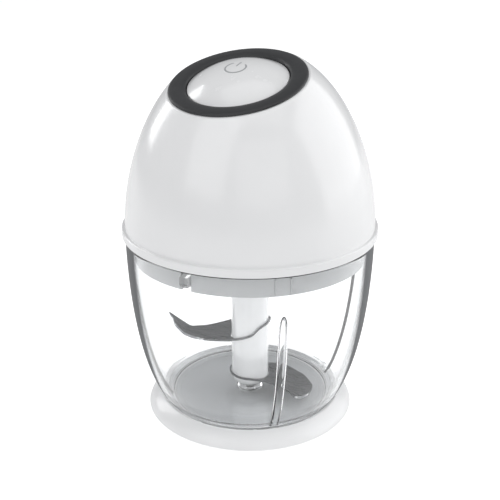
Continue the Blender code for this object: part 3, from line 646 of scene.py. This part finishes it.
def make_foot():
    well = PAD_R + GAP
    brow = SOCKET_R + 0.7
    flare = smooth_line([(49.0, GRIP_TAB_TOP), (50.9, 7.1), (53.2, 5.1), (54.5, 3.2), (55.1, 1.9)], 5)
    profile = [(0, SOCKET_FLOOR), (well, SOCKET_FLOOR), (well, SEAT - 0.2), (well + 0.2, SEAT)]
    profile += [(SOCKET_R, SEAT), (SOCKET_R, FOOT_TOP - 0.25), (SOCKET_R + 0.25, FOOT_TOP), (brow, FOOT_TOP)]
    profile += [tuple(point) for point in flare]
    profile += eased([(FOOT_R, 1.4), (FOOT_R, FOOT_LOW, 0.45), (52.0, FOOT_LOW)], 4)[1:]
    profile += [(51.8, FOOT_LOW), (51.8, 2.5), (42.7, 2.5), (42.7, FOOT_LOW)]
    profile += [(41.0, FOOT_LOW), (40.4, FOOT_HOLLOW), (0, FOOT_HOLLOW)]
    foot = lathe("foot_shell", profile, 180)
    tabs = []
    for index in range(GRIP_TABS):
        turn = GRIP_TAB_START + 360 / GRIP_TABS * index
        low = (GRIP_TAB_IN, -GRIP_TAB_HALF, GRIP_TAB_LOW)
        tabs.append(box(f"tab_{index}", low, (brow, GRIP_TAB_HALF, GRIP_TAB_TOP), 0.2, turn))
    combine(foot, tabs, "UNION")
    stand_for(foot, "base_foot", "foot", "soft_white", FOOT)


def make_pad():
    groove = ((-0.4, 0), (-0.15, 0.15), (0.15, 0.15), (0.4, 0))
    pad = [(0, PAD_TOP)] + [(PAD_GROOVE_R + across, PAD_TOP - sink) for across, sink in groove]
    pad += [(PAD_R - 0.35, PAD_TOP), (PAD_R, PAD_TOP - 0.3), (PAD_R, PAD_LOW), (0, PAD_LOW)]
    stand_for(lathe("bowl_pad", pad), "base_pad", "foot", "grey_elastomer", PAD)


def make_tread():
    tread = [(43.0, 2.2), (43.0, 0.4), (43.5, 0.0)]
    for groove in range(TREAD_GROOVES):
        radius = TREAD_START + groove * TREAD_PITCH
        tread += [(radius, 0.0), (radius + 0.15, 0.45), (radius + 0.55, 0.45), (radius + 0.7, 0.0)]
    tread += [(51.0, 0.0), (51.5, 0.4), (51.5, 2.2)]
    stand_for(lathe("tread_ring", tread), "anti_slip_ring", "foot", "grey_elastomer", PAD)


# ---------------------------------------------------------------- bowl


def bowl_profile():
    """The loop of the bowl's section: out over the floor, up inside, over the rim, down and back below."""
    bottom = [(47.0, 8.9, 0.5), (46.2, 7.9, 0.5), (45.2, 6.3, 0.6), (42.6, 6.3, 0.4), (42.0, BOWL_UNDER, 0.3)]
    boss = [(0, PIN_SEAT), (PIN_BORE, PIN_SEAT), (PIN_BORE, BOSS_TOP, 0.2), (5.9, BOSS_TOP, 0.7)]
    boss += [(6.5, 10.1, 0.4), (6.9, 8.9, 0.6), (8.6, BOWL_FLOOR)]
    floor = smooth_line([(40.8, BOWL_FLOOR), (42.6, 8.75), (44.2, 9.9), (45.6, 11.9)], 4)
    outer, inner = [], []
    for step in range(BOWL_STEPS + 1):
        share = step / BOWL_STEPS
        z = OUTER_TOP - (OUTER_TOP - OUTER_LOW) * (1 - (1 - share) ** 1.6)
        outer.append((bowl_radius(z), z))
        z = INNER_LOW + (INNER_TOP - INNER_LOW) * share**1.35
        inner.append((bowl_radius(z) - BOWL_WALL, z))
    brim = bowl_radius(99)
    rim = eased([(brim - 2.8, OUTER_TOP), (brim - 2.2, BOWL_RIM, 0.4), (brim - 0.5, BOWL_RIM, 0.4)], 3)
    inside = eased(boss, 4)[:-1] + [tuple(point) for point in floor] + inner
    return inside + rim + outer + eased(bottom, 3) + [(0, BOWL_UNDER)]


def bowl_rib(name, angle):
    """An upright rib lying on the inside of the wall, which thins out at its top."""
    path, radii = [], []
    for step in range(RIB_STEPS + 1):
        z = OUTER_LOW + (RIB_TOP - OUTER_LOW) * (1 - (1 - step / RIB_STEPS) ** 2)
        left = max(0.0, (z - RIB_TOP + RIB_TAPER) / RIB_TAPER)
        x, y = polar(bowl_radius(z) - BOWL_WALL, angle)
        path.append(Vector((x, y, z)))
        radii.append(RIB_R * max(0.1, math.sqrt(max(0.0, 1 - left**2))))
    return tube(name, path, radii, 24, RIB_DEPTH)


def make_bowl():
    bowl = lathe("clear_bowl", bowl_profile(), 180)
    extras = [bowl_rib(f"rib_{index}", angle) for index, angle in enumerate(RIB_ANGLES)]
    extras.append(box("key", (-KEY_HALF, -KEY_OUT, KEY_LOW), (KEY_HALF, -KEY_IN, KEY_HIGH), 0.4))
    combine(bowl, extras, "UNION", 40)
    # Faces on the wall take the second material, whose painted edge shade is stronger and reckoned as for an
    # upright wall.
    stand_for(bowl, "bowl", "bowl", "clear_polycarbonate", CLEAR, WALL, LUG)
    for face in bowl.data.polygons:
        centre = face.center / MM
        reach = math.hypot(centre.x, centre.y)
        on_wall = abs(reach - bowl_radius(centre.z)) < WALL_SLACK and WALL_LOW < centre.z < WALL_HIGH
        in_key = abs(centre.x) < KEY_HALF + 0.1 and centre.y < 0 and KEY_LOW < centre.z < KEY_HIGH
        face.material_index = 2 if in_key and reach < KEY_REACH else int(on_wall)


# ---------------------------------------------------------------- cutter


def bent_height(levels, x):
    """Height of the folded sheet at x, with each fold rounded over a short width."""

    def straight(at):
        for (x0, z0), (x1, z1) in zip(levels, levels[1:]):
            if at <= x1:
                return z0 + (z1 - z0) * (at - x0) / (x1 - x0)
        return levels[-1][1]

    for fold, _ in levels[1:-1]:
        if abs(x - fold) < FOLD_SOFT:
            low, high = straight(fold - FOLD_SOFT), straight(fold + FOLD_SOFT)
            t = (x - fold + FOLD_SOFT) / (2 * FOLD_SOFT)
            middle = straight(fold)
            return low * (1 - t) ** 2 + middle * 2 * t * (1 - t) + high * t * t
    return straight(x)


def level(points):
    """Outline points as vectors in the flat sheet."""
    return [Vector((x, y, 0)) for x, y in points]


def outline_fill(cage, loops):
    """Fills flat loops, the later ones as holes, with triangles."""
    edges = []
    for loop in loops:
        edges += [cage.edges.get((a, b)) or cage.edges.new((a, b)) for a, b in zip(loop, loop[1:] + loop[:1])]
    bmesh.ops.triangle_fill(cage, edges=edges, use_beauty=True, use_dissolve=False)


def make_blade(name, plain, cutting, closing, levels, grind, lean=0.0):
    """A folded sheet: a plain outline, a cutting edge ground over a width, and a ring round the hub.

    plain and closing are the outline's points before and after the cutting edge, with the sheet on the left.
    levels holds (distance along the span, height) pairs; the span is the X axis turned by lean.
    """
    span = Vector((math.cos(lean), math.sin(lean), 0))
    cage = bmesh.new()
    drop = cage.verts.layers.float.new("drop")
    edge = level(cutting)
    middle = sum(edge, Vector()) / len(edge)
    inner = []
    for index, point in enumerate(edge):
        along = (edge[min(index + 1, len(edge) - 1)] - edge[max(index - 1, 0)]).normalized()
        side = Vector((-along.y, along.x, 0))
        inner.append(point + side * grind * min(1, 0.25 + 3 * min(index, len(edge) - 1 - index) / len(edge)))
    hole = level(polar(BLADE_HOLE, 360 * i / 72) for i in range(72))
    # The upper side: the outline up to the grind, then the ground strip out to the cutting edge.
    start = len(plain)
    end = start + len(edge)
    top_ring = [cage.verts.new(point) for point in hole]
    loop = [cage.verts.new(point) for point in level(plain) + inner + level(closing)]
    outer = [cage.verts.new(point) for point in edge]
    for vert in outer:
        vert[drop] = 1.0
    ground = loop[start:end]
    strip = list(zip(ground, ground[1:], outer[1:], outer))
    strip += [(loop[start - 1], ground[0], outer[0]), (ground[-1], loop[end % len(loop)], outer[-1])]
    for corners in strip:
        cage.faces.new(corners).material_index = 1
    top_rim = loop[:start] + outer + loop[end:]
    outline_fill(cage, [loop, top_ring])
    # The lower side, with nothing ground off.
    low_ring = [cage.verts.new(point) for point in hole]
    low_rim = [cage.verts.new(point) for point in level(plain) + edge + level(closing)]
    outline_fill(cage, [low_rim, low_ring])
    for high, low in ((top_rim, low_rim), (top_ring, low_ring)):
        count = len(high)
        for i in range(count):
            j = (i + 1) % count
            cage.faces.new((high[i], high[j], low[j], low[i]))
    for vert in cage.verts:
        vert.co.z = 1.0
    for vert in low_rim + low_ring:
        vert.co.z = -1.0
    for fold, _ in levels[1:-1]:
        for share in (-1, -0.5, 0, 0.5, 1):
            parts = cage.verts[:] + cage.edges[:] + cage.faces[:]
            cut_at = span * (fold + share * FOLD_SOFT)
            bmesh.ops.bisect_plane(cage, geom=parts, plane_co=cut_at, plane_no=span, dist=1e-4)
    half = BLADE_GAUGE / 2
    for vert in cage.verts:
        lift = half - vert[drop] * (BLADE_GAUGE - EDGE_GAUGE) if vert.co.z > 0 else -half
        vert.co.z = bent_height(levels, vert.co.x * span.x + vert.co.y * span.y) + lift
    bmesh.ops.transform(cage, matrix=CUTTER_FRAME, verts=cage.verts)
    return new_piece(name, cage, 24)


def curve(points):
    """Outline points along a smooth curve through the given ones."""
    return [(point.x, point.y) for point in smooth_line(points)]


def make_hub():
    inside = [(HUB_BORE, HUB_LOW), (HUB_BORE, 76.0), (HUB_SOCKET, 78.0), (HUB_SOCKET, HUB_TOP)]
    outer = [(HUB_SOCKET, HUB_TOP), (HUB_R, HUB_TOP, 0.7), (HUB_R, 16.2, 1.5), (9.3, 13.9, 1.2)]
    outer = eased(outer + [(7.8, 12.4, 0.9), (6.6, HUB_LOW)], 5)[1:]
    stand_for(lathe("cutter_tube", inside + outer, 96, CUTTER_FRAME), "blade_hub", "cutter", "white_abs", HUB)


def make_upper_blade():
    spine = [(0.5, 14.2), (-4.4, 17.9), (-9.4, 19.6), (-12.7, 18.2), (-16.6, 16.2), (-21.0, 14.2)]
    spine += [(-24.8, 13.0), (-28.7, 12.7), (-36.4, 12.7), (-45.2, 12.9)]
    tip = [(-44.6, 11.9), (-43.9, 10.7)]
    plain = arc(BLADE_RING, -141, 66, 48) + curve(spine) + tip
    cutting = [(-42.7, 9.3), (-41.4, 5.8), (-38.1, 3.8), (-34.7, 2.0), (-32.4, -0.2), (-29.6, -2.0)]
    cutting += [(-25.7, -3.9)]
    heel = curve([(-25.7, -3.9), (-21.4, -5.2), (-17.0, -6.0), (-13.3, -6.5)])[1:]
    levels = [(-48, 46.9), (-35.3, 37.6), (-8.0, 38.8), (4.7, 44.0), (7.5, 47.4), (11.5, 49.2)]
    blade = make_blade("upper_wing", plain, curve(cutting), heel, levels, UPPER_GRIND, UPPER_LEAN)
    stand_for(blade, "upper_blade", "cutter", "steel", BLADE, EDGE)


def make_lower_blade():
    front = curve([(9.2, -10.6), (13.0, -12.0), (19.5, -15.4), (23.4, -21.6)])[:-1]
    hook = curve([(23.4, -21.6), (27.2, -21.4), (30.5, -19.7)])
    back = curve([(30.5, -19.7), (33.6, -12.9), (32.2, -5.2), (28.6, 4.6), (21.8, 11.6), (14.0, 12.2)])[1:]
    levels = [(-12.5, 18.1), (0.0, 17.7), (27.0, 12.1), (35.0, 14.4)]
    plain = arc(BLADE_RING, 60, 292, 48) + front
    blade = make_blade("lower_wing", plain, hook, back, levels, LOWER_GRIND)
    stand_for(blade, "lower_blade", "cutter", "steel", BLADE, EDGE)


def make_washer():
    washer = eased([(5.6, 11.7, 0.15), (2.3, 11.7, 0.15), (2.3, 11.0, 0.15), (5.6, 11.0, 0.15)], 3)
    stand_for(lathe("pivot_washer", washer, 72), "thrust_washer", "washer", "acetal", ACETAL)


def make_pin():
    pin = [(0, PIN_TOP), (1.3, PIN_TOP), (1.8, PIN_TOP - 0.3), (PIN_R, PIN_TOP - 0.8), (PIN_R, 8.0), (0, 8.0)]
    stand_for(lathe("centre_pin", pin, 48), "pivot_pin", "bowl", "steel", PLAIN_STEEL)


# ---------------------------------------------------------------- head


def lean_height(radius, azimuth, z):
    """Height above the button ring's plane of a point on the meridian at this azimuth."""
    y = radius * math.sin(azimuth)
    return -math.sin(LEAN) * (y - RING_CENTRE.y) + math.cos(LEAN) * (z - RING_CENTRE.z)


def meridian_end(azimuth, inset, depth):
    """How far up the dome, as a share of a quarter turn, the meridian meets the leaning cut."""
    low, high = 0.0, 1.0
    for _ in range(40):
        share = (low + high) / 2
        z = DOME_LOW + (DOME_RISE - inset) * math.sin(math.pi / 2 * share)
        if lean_height(dome_radius(z, inset), azimuth, z) < depth:
            low = share
        else:
            high = share
    return low


def meridian(azimuth, inset, depth, count):
    end = meridian_end(azimuth, inset, depth)
    points = []
    for step in range(count + 1):
        z = DOME_LOW + (DOME_RISE - inset) * math.sin(math.pi / 2 * end * step / count)
        points.append(Vector((dome_radius(z, inset), z)))
    return points


def flap_outline(margin, count=48):
    """The rounded rectangle of the charging flap as (x, z) pairs."""
    half = FLAP_HALF + margin
    tall = (FLAP_TOP - FLAP_LOW) / 2 + margin
    middle = (FLAP_TOP + FLAP_LOW) / 2
    corner = FLAP_CORNER + margin
    points = []
    for cx, cz, start in (
        (half - corner, tall - corner, 0),
        (-half + corner, tall - corner, 90),
        (-half + corner, -tall + corner, 180),
        (half - corner, -tall + corner, 270),
    ):
        for step in range(count // 4):
            dx, dz = polar(corner, start + 90 * step / (count // 4 - 1))
            points.append((cx + dx, middle + cz + dz))
    return points


def skin_block(name, margin, out, inward, edge=0.0):
    """A patch of the dome's skin inside the flap's outline, between two offsets from the dome's surface."""
    cage = bmesh.new()
    outline = flap_outline(margin)
    middle = (FLAP_TOP + FLAP_LOW) / 2
    shares = (0.0, 0.25, 0.5, 0.75, 0.9, 1.0)
    layers = []
    for offset, softened in ((out, edge), (-inward, 0.0)):
        rows = []
        for share in shares:
            row = []
            for x, z in outline if share else outline[:1]:
                px, pz = x * share, middle + (z - middle) * share
                sink = softened if share == 1.0 else 0.0
                reach = dome_radius(max(pz, DOME_LOW)) + offset - sink
                row.append(cage.verts.new((px, math.sqrt(reach**2 - px**2), pz)))
            rows.append(row)
        for first, second in zip(rows, rows[1:]):
            for i in range(len(outline)):
                j = (i + 1) % len(outline)
                quad = [first[i % len(first)], first[j % len(first)], second[j], second[i]]
                cage.faces.new(list(dict.fromkeys(quad)))
        layers.append(rows[-1])
    top, low = layers
    for i in range(len(outline)):
        j = (i + 1) % len(outline)
        cage.faces.new((top[i], top[j], low[j], low[i]))
    return new_piece(name, cage)


def shell_lip():
    """The stepped lip from the dome's foot down to the bore."""
    step = [(64.3, 104.75), (64.5, LIP_TOP + 0.1, 0.35), (65.6, LIP_TOP, 0.25), (LIP_R, LIP_TOP - 0.5, 0.3)]
    lip = [(LIP_R, LIP_TOP - 1.2), (LIP_R, LIP_LOW, 0.5), (62.3, LIP_LOW, 0.3), (SHELL_BORE, LIP_LOW + 0.4)]
    return [Vector(point) for point in eased(step, 3)[1:] + eased(lip, 4)[1:]]


def shell_line(azimuth):
    """The section of the shell at one azimuth: up the lip and the dome, over the leaning rim, down inside."""
    outer = meridian(azimuth, 0.0, CUT_DEPTH, SHELL_CLIMB)
    inner = meridian(azimuth, SHELL_WALL, CUT_DEPTH, SHELL_CLIMB_INSIDE)
    corner = outer.pop()
    back = corner + (outer[-1] - corner).normalized() * 0.55
    ahead = corner + (inner[-1] - corner).normalized() * 0.45
    outer[-1] = corner + (outer[-1] - corner).normalized() * 1.3
    rim = [back * (1 - t) ** 2 + corner * 2 * t * (1 - t) + ahead * t * t for t in (0, 0.25, 0.5, 0.75, 1)]
    return shell_lip()[::-1] + outer + rim + inner[::-1] + [Vector((SHELL_BORE, 103.0))]


def make_shell():
    cage = bmesh.new()
    rows = []
    for step in range(SHELL_STEPS):
        azimuth = 2 * math.pi * step / SHELL_STEPS
        line = shell_line(azimuth)
        rows.append([cage.verts.new((p.x * math.cos(azimuth), p.x * math.sin(azimuth), p.y)) for p in line])
    for first, second in zip(rows, rows[1:] + rows[:1]):
        for i in range(len(first)):
            j = (i + 1) % len(first)
            cage.faces.new((first[i], second[i], second[j], first[j]))
    shell = new_piece("dome_shell", cage, 40)
    recess = skin_block("recess", GAP, 1.5, FLAP_GAUGE + GAP)
    hole = box("hole", (-5.1, 56, PORT_Z - 2.1), (5.1, 70, PORT_Z + 1.9))
    combine(shell, [recess, hole], "DIFFERENCE", 40)
    stand_for(shell, "head_shell", "head", "white_abs", WHITE)


def make_flap():
    flap = skin_block("charging_flap", 0.0, 0.1, FLAP_GAUGE, 0.25)
    thumb = box("thumb", (-2.6, 62.0, FLAP_LOW - 1.0), (2.6, 66.0, FLAP_LOW + 0.9), 0.5)
    combine(flap, [thumb], "DIFFERENCE")
    stand_for(flap, "port_flap", "flap", "soft_white", FOOT)


def make_collar():
    inside = COLLAR_R - COLLAR_WALL
    skirt = [(COLLAR_R, 95.0), (COLLAR_R, COLLAR_LOW, 0.6), (inside, COLLAR_LOW, 0.5), (inside, PLATE_LOW)]
    well = [(14.4, PLATE_LOW), (13.9, PLATE_LOW + 0.1), (13.5, PLATE_LOW + 0.6), (13.5, 97.5), (5.3, 97.5)]
    well += [(5.3, 99.6), (7.7, 99.6), (7.7, 103.5), (10.5, 103.5), (10.5, 99.7), (15.7, 99.7)]
    profile = [(COVER_R, COVER_TOP), (COVER_R, 101.6), (COLLAR_R, 101.6)] + eased(skirt, 4)[1:-1]
    profile += [(inside, PLATE_LOW - 0.3), (inside - 0.4, PLATE_LOW)] + well
    profile += [(15.7, PLATE_TOP), (inside, PLATE_TOP), (inside, COVER_TOP)]
    collar = lathe("motor_collar", profile, 180)
    guides = []
    for index, angle in enumerate(RIB_ANGLES):
        for side in (-1, 1):
            turn = angle + side * GUIDE_SPREAD
            guides.append(box(f"guide_{index}_{side}", (59.0, -0.5, 88.8), (60.1, 0.5, 96.6), 0.3, turn))
    combine(collar, guides, "UNION")
    block = box("block", (-4.8, -58.4, 91.0), (4.8, -53.0, 103.6))
    combine(collar, [block], "UNION")
    slot = box("slot", (-2.8, -61.0, 86.0), (2.8, -54.6, 98.2))
    rod = [(0, 114.5), (1.8, 114.5), (1.8, 97.5), (0, 97.5)]
    bore = lathe("plunger_bore", rod, 32, Matrix.Translation((0, SWITCH_Y, 0)))
    combine(collar, [slot, bore], "DIFFERENCE")
    stand_for(collar, "motor_base_cover", "head", "grey_abs", COLLAR)


def make_seal():
    seal = eased([(61.0, 100.6, 0.3), (61.0, 98.6, 0.3), (59.8, 98.2, 0.15), (59.8, 101.2, 0.3)], 3)
    stand_for(lathe("rim_seal", seal), "bowl_seal", "head", "soft_white", SEAL)


def cap_height(radius):
    """Height of the power button's domed top above the ring plane."""
    ball = (CAP_R**2 + CAP_RISE**2) / (2 * CAP_RISE)
    return CAP_RISE - CAP_SINK - ball + math.sqrt(ball**2 - radius**2)


def cap_arc(radius, steps, sink=0.0):
    """Points of the dome's section from the axis out to a radius, lowered by sink."""
    places = [radius * step / steps for step in range(steps + 1)]
    return [(place, cap_height(place) - sink) for place in places]


def make_ring():
    ring = [(RING_BORE, -1.1), (25.9, -0.45), (26.9, 0.12), (28.4, 0.42), (30.4, 0.46), (32.4, 0.32)]
    profile = [tuple(point) for point in smooth_line(ring + [(33.6, 0.0), (34.1, -0.4)], 4)]
    profile += [(34.2, -0.65), (34.2, -0.9), (27.1, -0.9), (27.1, -6.0), (RING_BORE, -6.0)]
    stand_for(lathe("button_ring", profile, 192, LEAN_FRAME), "trim_ring", "head", "dark_grey_abs", DARK)


def make_button():
    top = cap_arc(CAP_CROWN, 26)
    edge = eased([top[-1], (CAP_R, cap_height(CAP_CROWN) - 0.55, 0.5), (CAP_R, -4.0)], 4)[1:-1]
    under = [(CAP_R, -8.0), (23.2, -8.0), (23.2, -2.9)] + cap_arc(22.0, 10, 1.9)[:1:-1]
    under += [(3.2, cap_height(3.2) - 2.1), (3.0, -4.2), (0, -4.2)]
    button = lathe("button_cap", top + edge + under, 144, LEAN_FRAME)
    stand_for(button, "power_button", "button", "white_abs", BUTTON)


def ribbon(cage, path):
    """A low raised band with rounded ends lying on the button's dome, along a flat path."""
    rows = []
    shape = ((-1.0, -0.12), (-0.85, 0.6), (-0.45, 1.0), (0.45, 1.0), (0.85, 0.6), (1.0, -0.12))
    count = len(path)
    for index, point in enumerate(path):
        along = (path[min(index + 1, count - 1)] - path[max(index - 1, 0)]).normalized()
        side = Vector((-along.y, along.x))
        near = min(index, count - 1 - index)
        width = SYMBOL_HALF * (0.55, 0.88, 1.0)[min(near, 2)]
        row = []
        for across, high in shape:
            spot = point + side * across * width
            row.append(cage.verts.new((spot.x, spot.y, cap_height(spot.length) + high * SYMBOL_LIFT)))
        rows.append(row)
    for first, second in zip(rows, rows[1:]):
        for i in range(len(shape)):
            j = (i + 1) % len(shape)
            cage.faces.new((first[i], first[j], second[j], second[i]))
    cage.faces.new(rows[0])
    cage.faces.new(list(reversed(rows[-1])))


def make_symbol():
    cage = bmesh.new()
    ribbon(cage, [Vector(point) for point in arc(SYMBOL_R, SYMBOL_START, SYMBOL_END, 56)])
    ribbon(cage, [Vector((0, BAR_LOW + BAR_LENGTH * step / 10)) for step in range(11)])
    bmesh.ops.transform(cage, matrix=LEAN_FRAME, verts=cage.verts)
    symbol = new_piece("power_symbol", cage, 60)
    # The grey given here is painted shade along the symbol's edges.
    give(symbol, SYMBOL_PAINTED_SHADE)
    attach(symbol, "button")


# ---------------------------------------------------------------- what stays as it is in the frame


def finish_frame():
    """Materials for every CAD node by its slot, save for two whose own finish differs."""
    slots = {row["node"]: row["material_slot"] for row in frame["record"]["subparts"]}
    special = {"bowl_seal": SEAL, "button_bracket": NYLON}
    for name, obj in NODES.items():
        give(obj, special.get(name, BY_SLOT[slots[name]]))


# ---------------------------------------------------------------- stage


def make_stage():
    """A pale floor, which the camera sees a little brighter than it shines on the object."""
    mesh = bpy.data.meshes.new("floor")
    cage = bmesh.new()
    bmesh.ops.create_grid(cage, x_segments=8, y_segments=8, size=FLOOR_HALF)
    cage.to_mesh(mesh)
    cage.free()
    floor = bpy.data.objects.new("floor", mesh)
    bpy.context.scene.collection.objects.link(floor)
    made = Finish("pale_floor", 0.6)
    made.mottle(3, (0.88, 0.88, 0.88), (0.90, 0.90, 0.90))
    made.shader.inputs["Emission Color"].default_value = (1, 1, 1, 1)
    made.shader.inputs["Emission Strength"].default_value = FLOOR_LIGHT
    tree = made.tree
    path = tree.nodes.new("ShaderNodeLightPath").outputs
    direct = calculated(tree, "MAXIMUM", path["Is Camera Ray"], path["Is Transmission Ray"])
    glow = tree.nodes.new("ShaderNodeEmission")
    glow.inputs["Strength"].default_value = FLOOR_GLOW
    seen = tree.nodes.new("ShaderNodeAddShader")
    tree.links.new(made.shader.outputs["BSDF"], seen.inputs[0])
    tree.links.new(glow.outputs["Emission"], seen.inputs[1])
    mix = mixed(tree, direct, made.shader.outputs["BSDF"], seen.outputs["Shader"])
    tree.links.new(mix, tree.nodes["Material Output"].inputs["Surface"])
    give(floor, made.material)


def area_light(name, azimuth, elevation, distance, size, power):
    """A soft box in metres and watts, aimed at the object. Azimuth counts from the camera, to the right."""
    data = bpy.data.lights.new(name, "AREA")
    data.shape = "RECTANGLE"
    data.size, data.size_y = size
    data.energy = power
    lamp = bpy.data.objects.new(name, data)
    bpy.context.scene.collection.objects.link(lamp)
    turn = math.radians(CAMERA_AZIMUTH + azimuth)
    rise = math.radians(elevation)
    away = Vector((math.sin(turn) * math.cos(rise), -math.cos(turn) * math.cos(rise), math.sin(rise)))
    lamp.location = Vector(LAMP_AIM) + away * distance
    lamp.rotation_mode = "QUATERNION"
    lamp.rotation_quaternion = (-away).to_track_quat("-Z", "Y")


def make_camera():
    data = bpy.data.cameras.new("camera")
    data.lens = CAMERA_LENS
    data.sensor_width = SENSOR_WIDTH
    data.clip_start = 0.01
    camera = bpy.data.objects.new("camera", data)
    bpy.context.scene.collection.objects.link(camera)
    camera.location = CAMERA_AT
    camera.rotation_mode = "QUATERNION"
    camera.rotation_quaternion = (CAMERA_TARGET - CAMERA_AT).to_track_quat("-Z", "Y")
    bpy.context.scene.camera = camera


def make_lights():
    """Soft boxes in a plain world, which the camera sees brighter than it shines on the object."""
    world = bpy.data.worlds.new("studio")
    world.use_nodes = True
    back = world.node_tree.nodes["Background"]
    back.inputs["Color"].default_value = (0.97, 0.98, 1.0, 1)
    path = world.node_tree.nodes.new("ShaderNodeLightPath")
    seen = world.node_tree.nodes.new("ShaderNodeMapRange")
    seen.inputs["To Min"].default_value = WORLD_LIGHT
    seen.inputs["To Max"].default_value = WORLD_SEEN
    world.node_tree.links.new(path.outputs["Is Camera Ray"], seen.inputs["Value"])
    world.node_tree.links.new(seen.outputs["Result"], back.inputs["Strength"])
    bpy.context.scene.world = world
    bpy.context.scene.view_settings.view_transform = "Standard"
    area_light("key_left", -44, 34, 1.3, (0.9, 1.1), 3.6)
    area_light("rim_right", 101, 24, 1.3, (1.7, 1.3), 9.5)
    area_light("back_left", -126, 24, 1.3, (0.35, 0.8), 2.8)
    area_light("top", 10, 78, 1.4, (1.4, 1.4), 4)
    area_light("front_fill", 12, 26, 1.4, (1.2, 0.8), 1.9)


finish_frame()
make_foot()
make_pad()
make_tread()
make_bowl()
make_hub()
make_upper_blade()
make_lower_blade()
make_washer()
make_pin()
make_shell()
make_flap()
make_collar()
make_seal()
make_ring()
make_button()
make_symbol()
make_stage()
make_camera()
make_lights()
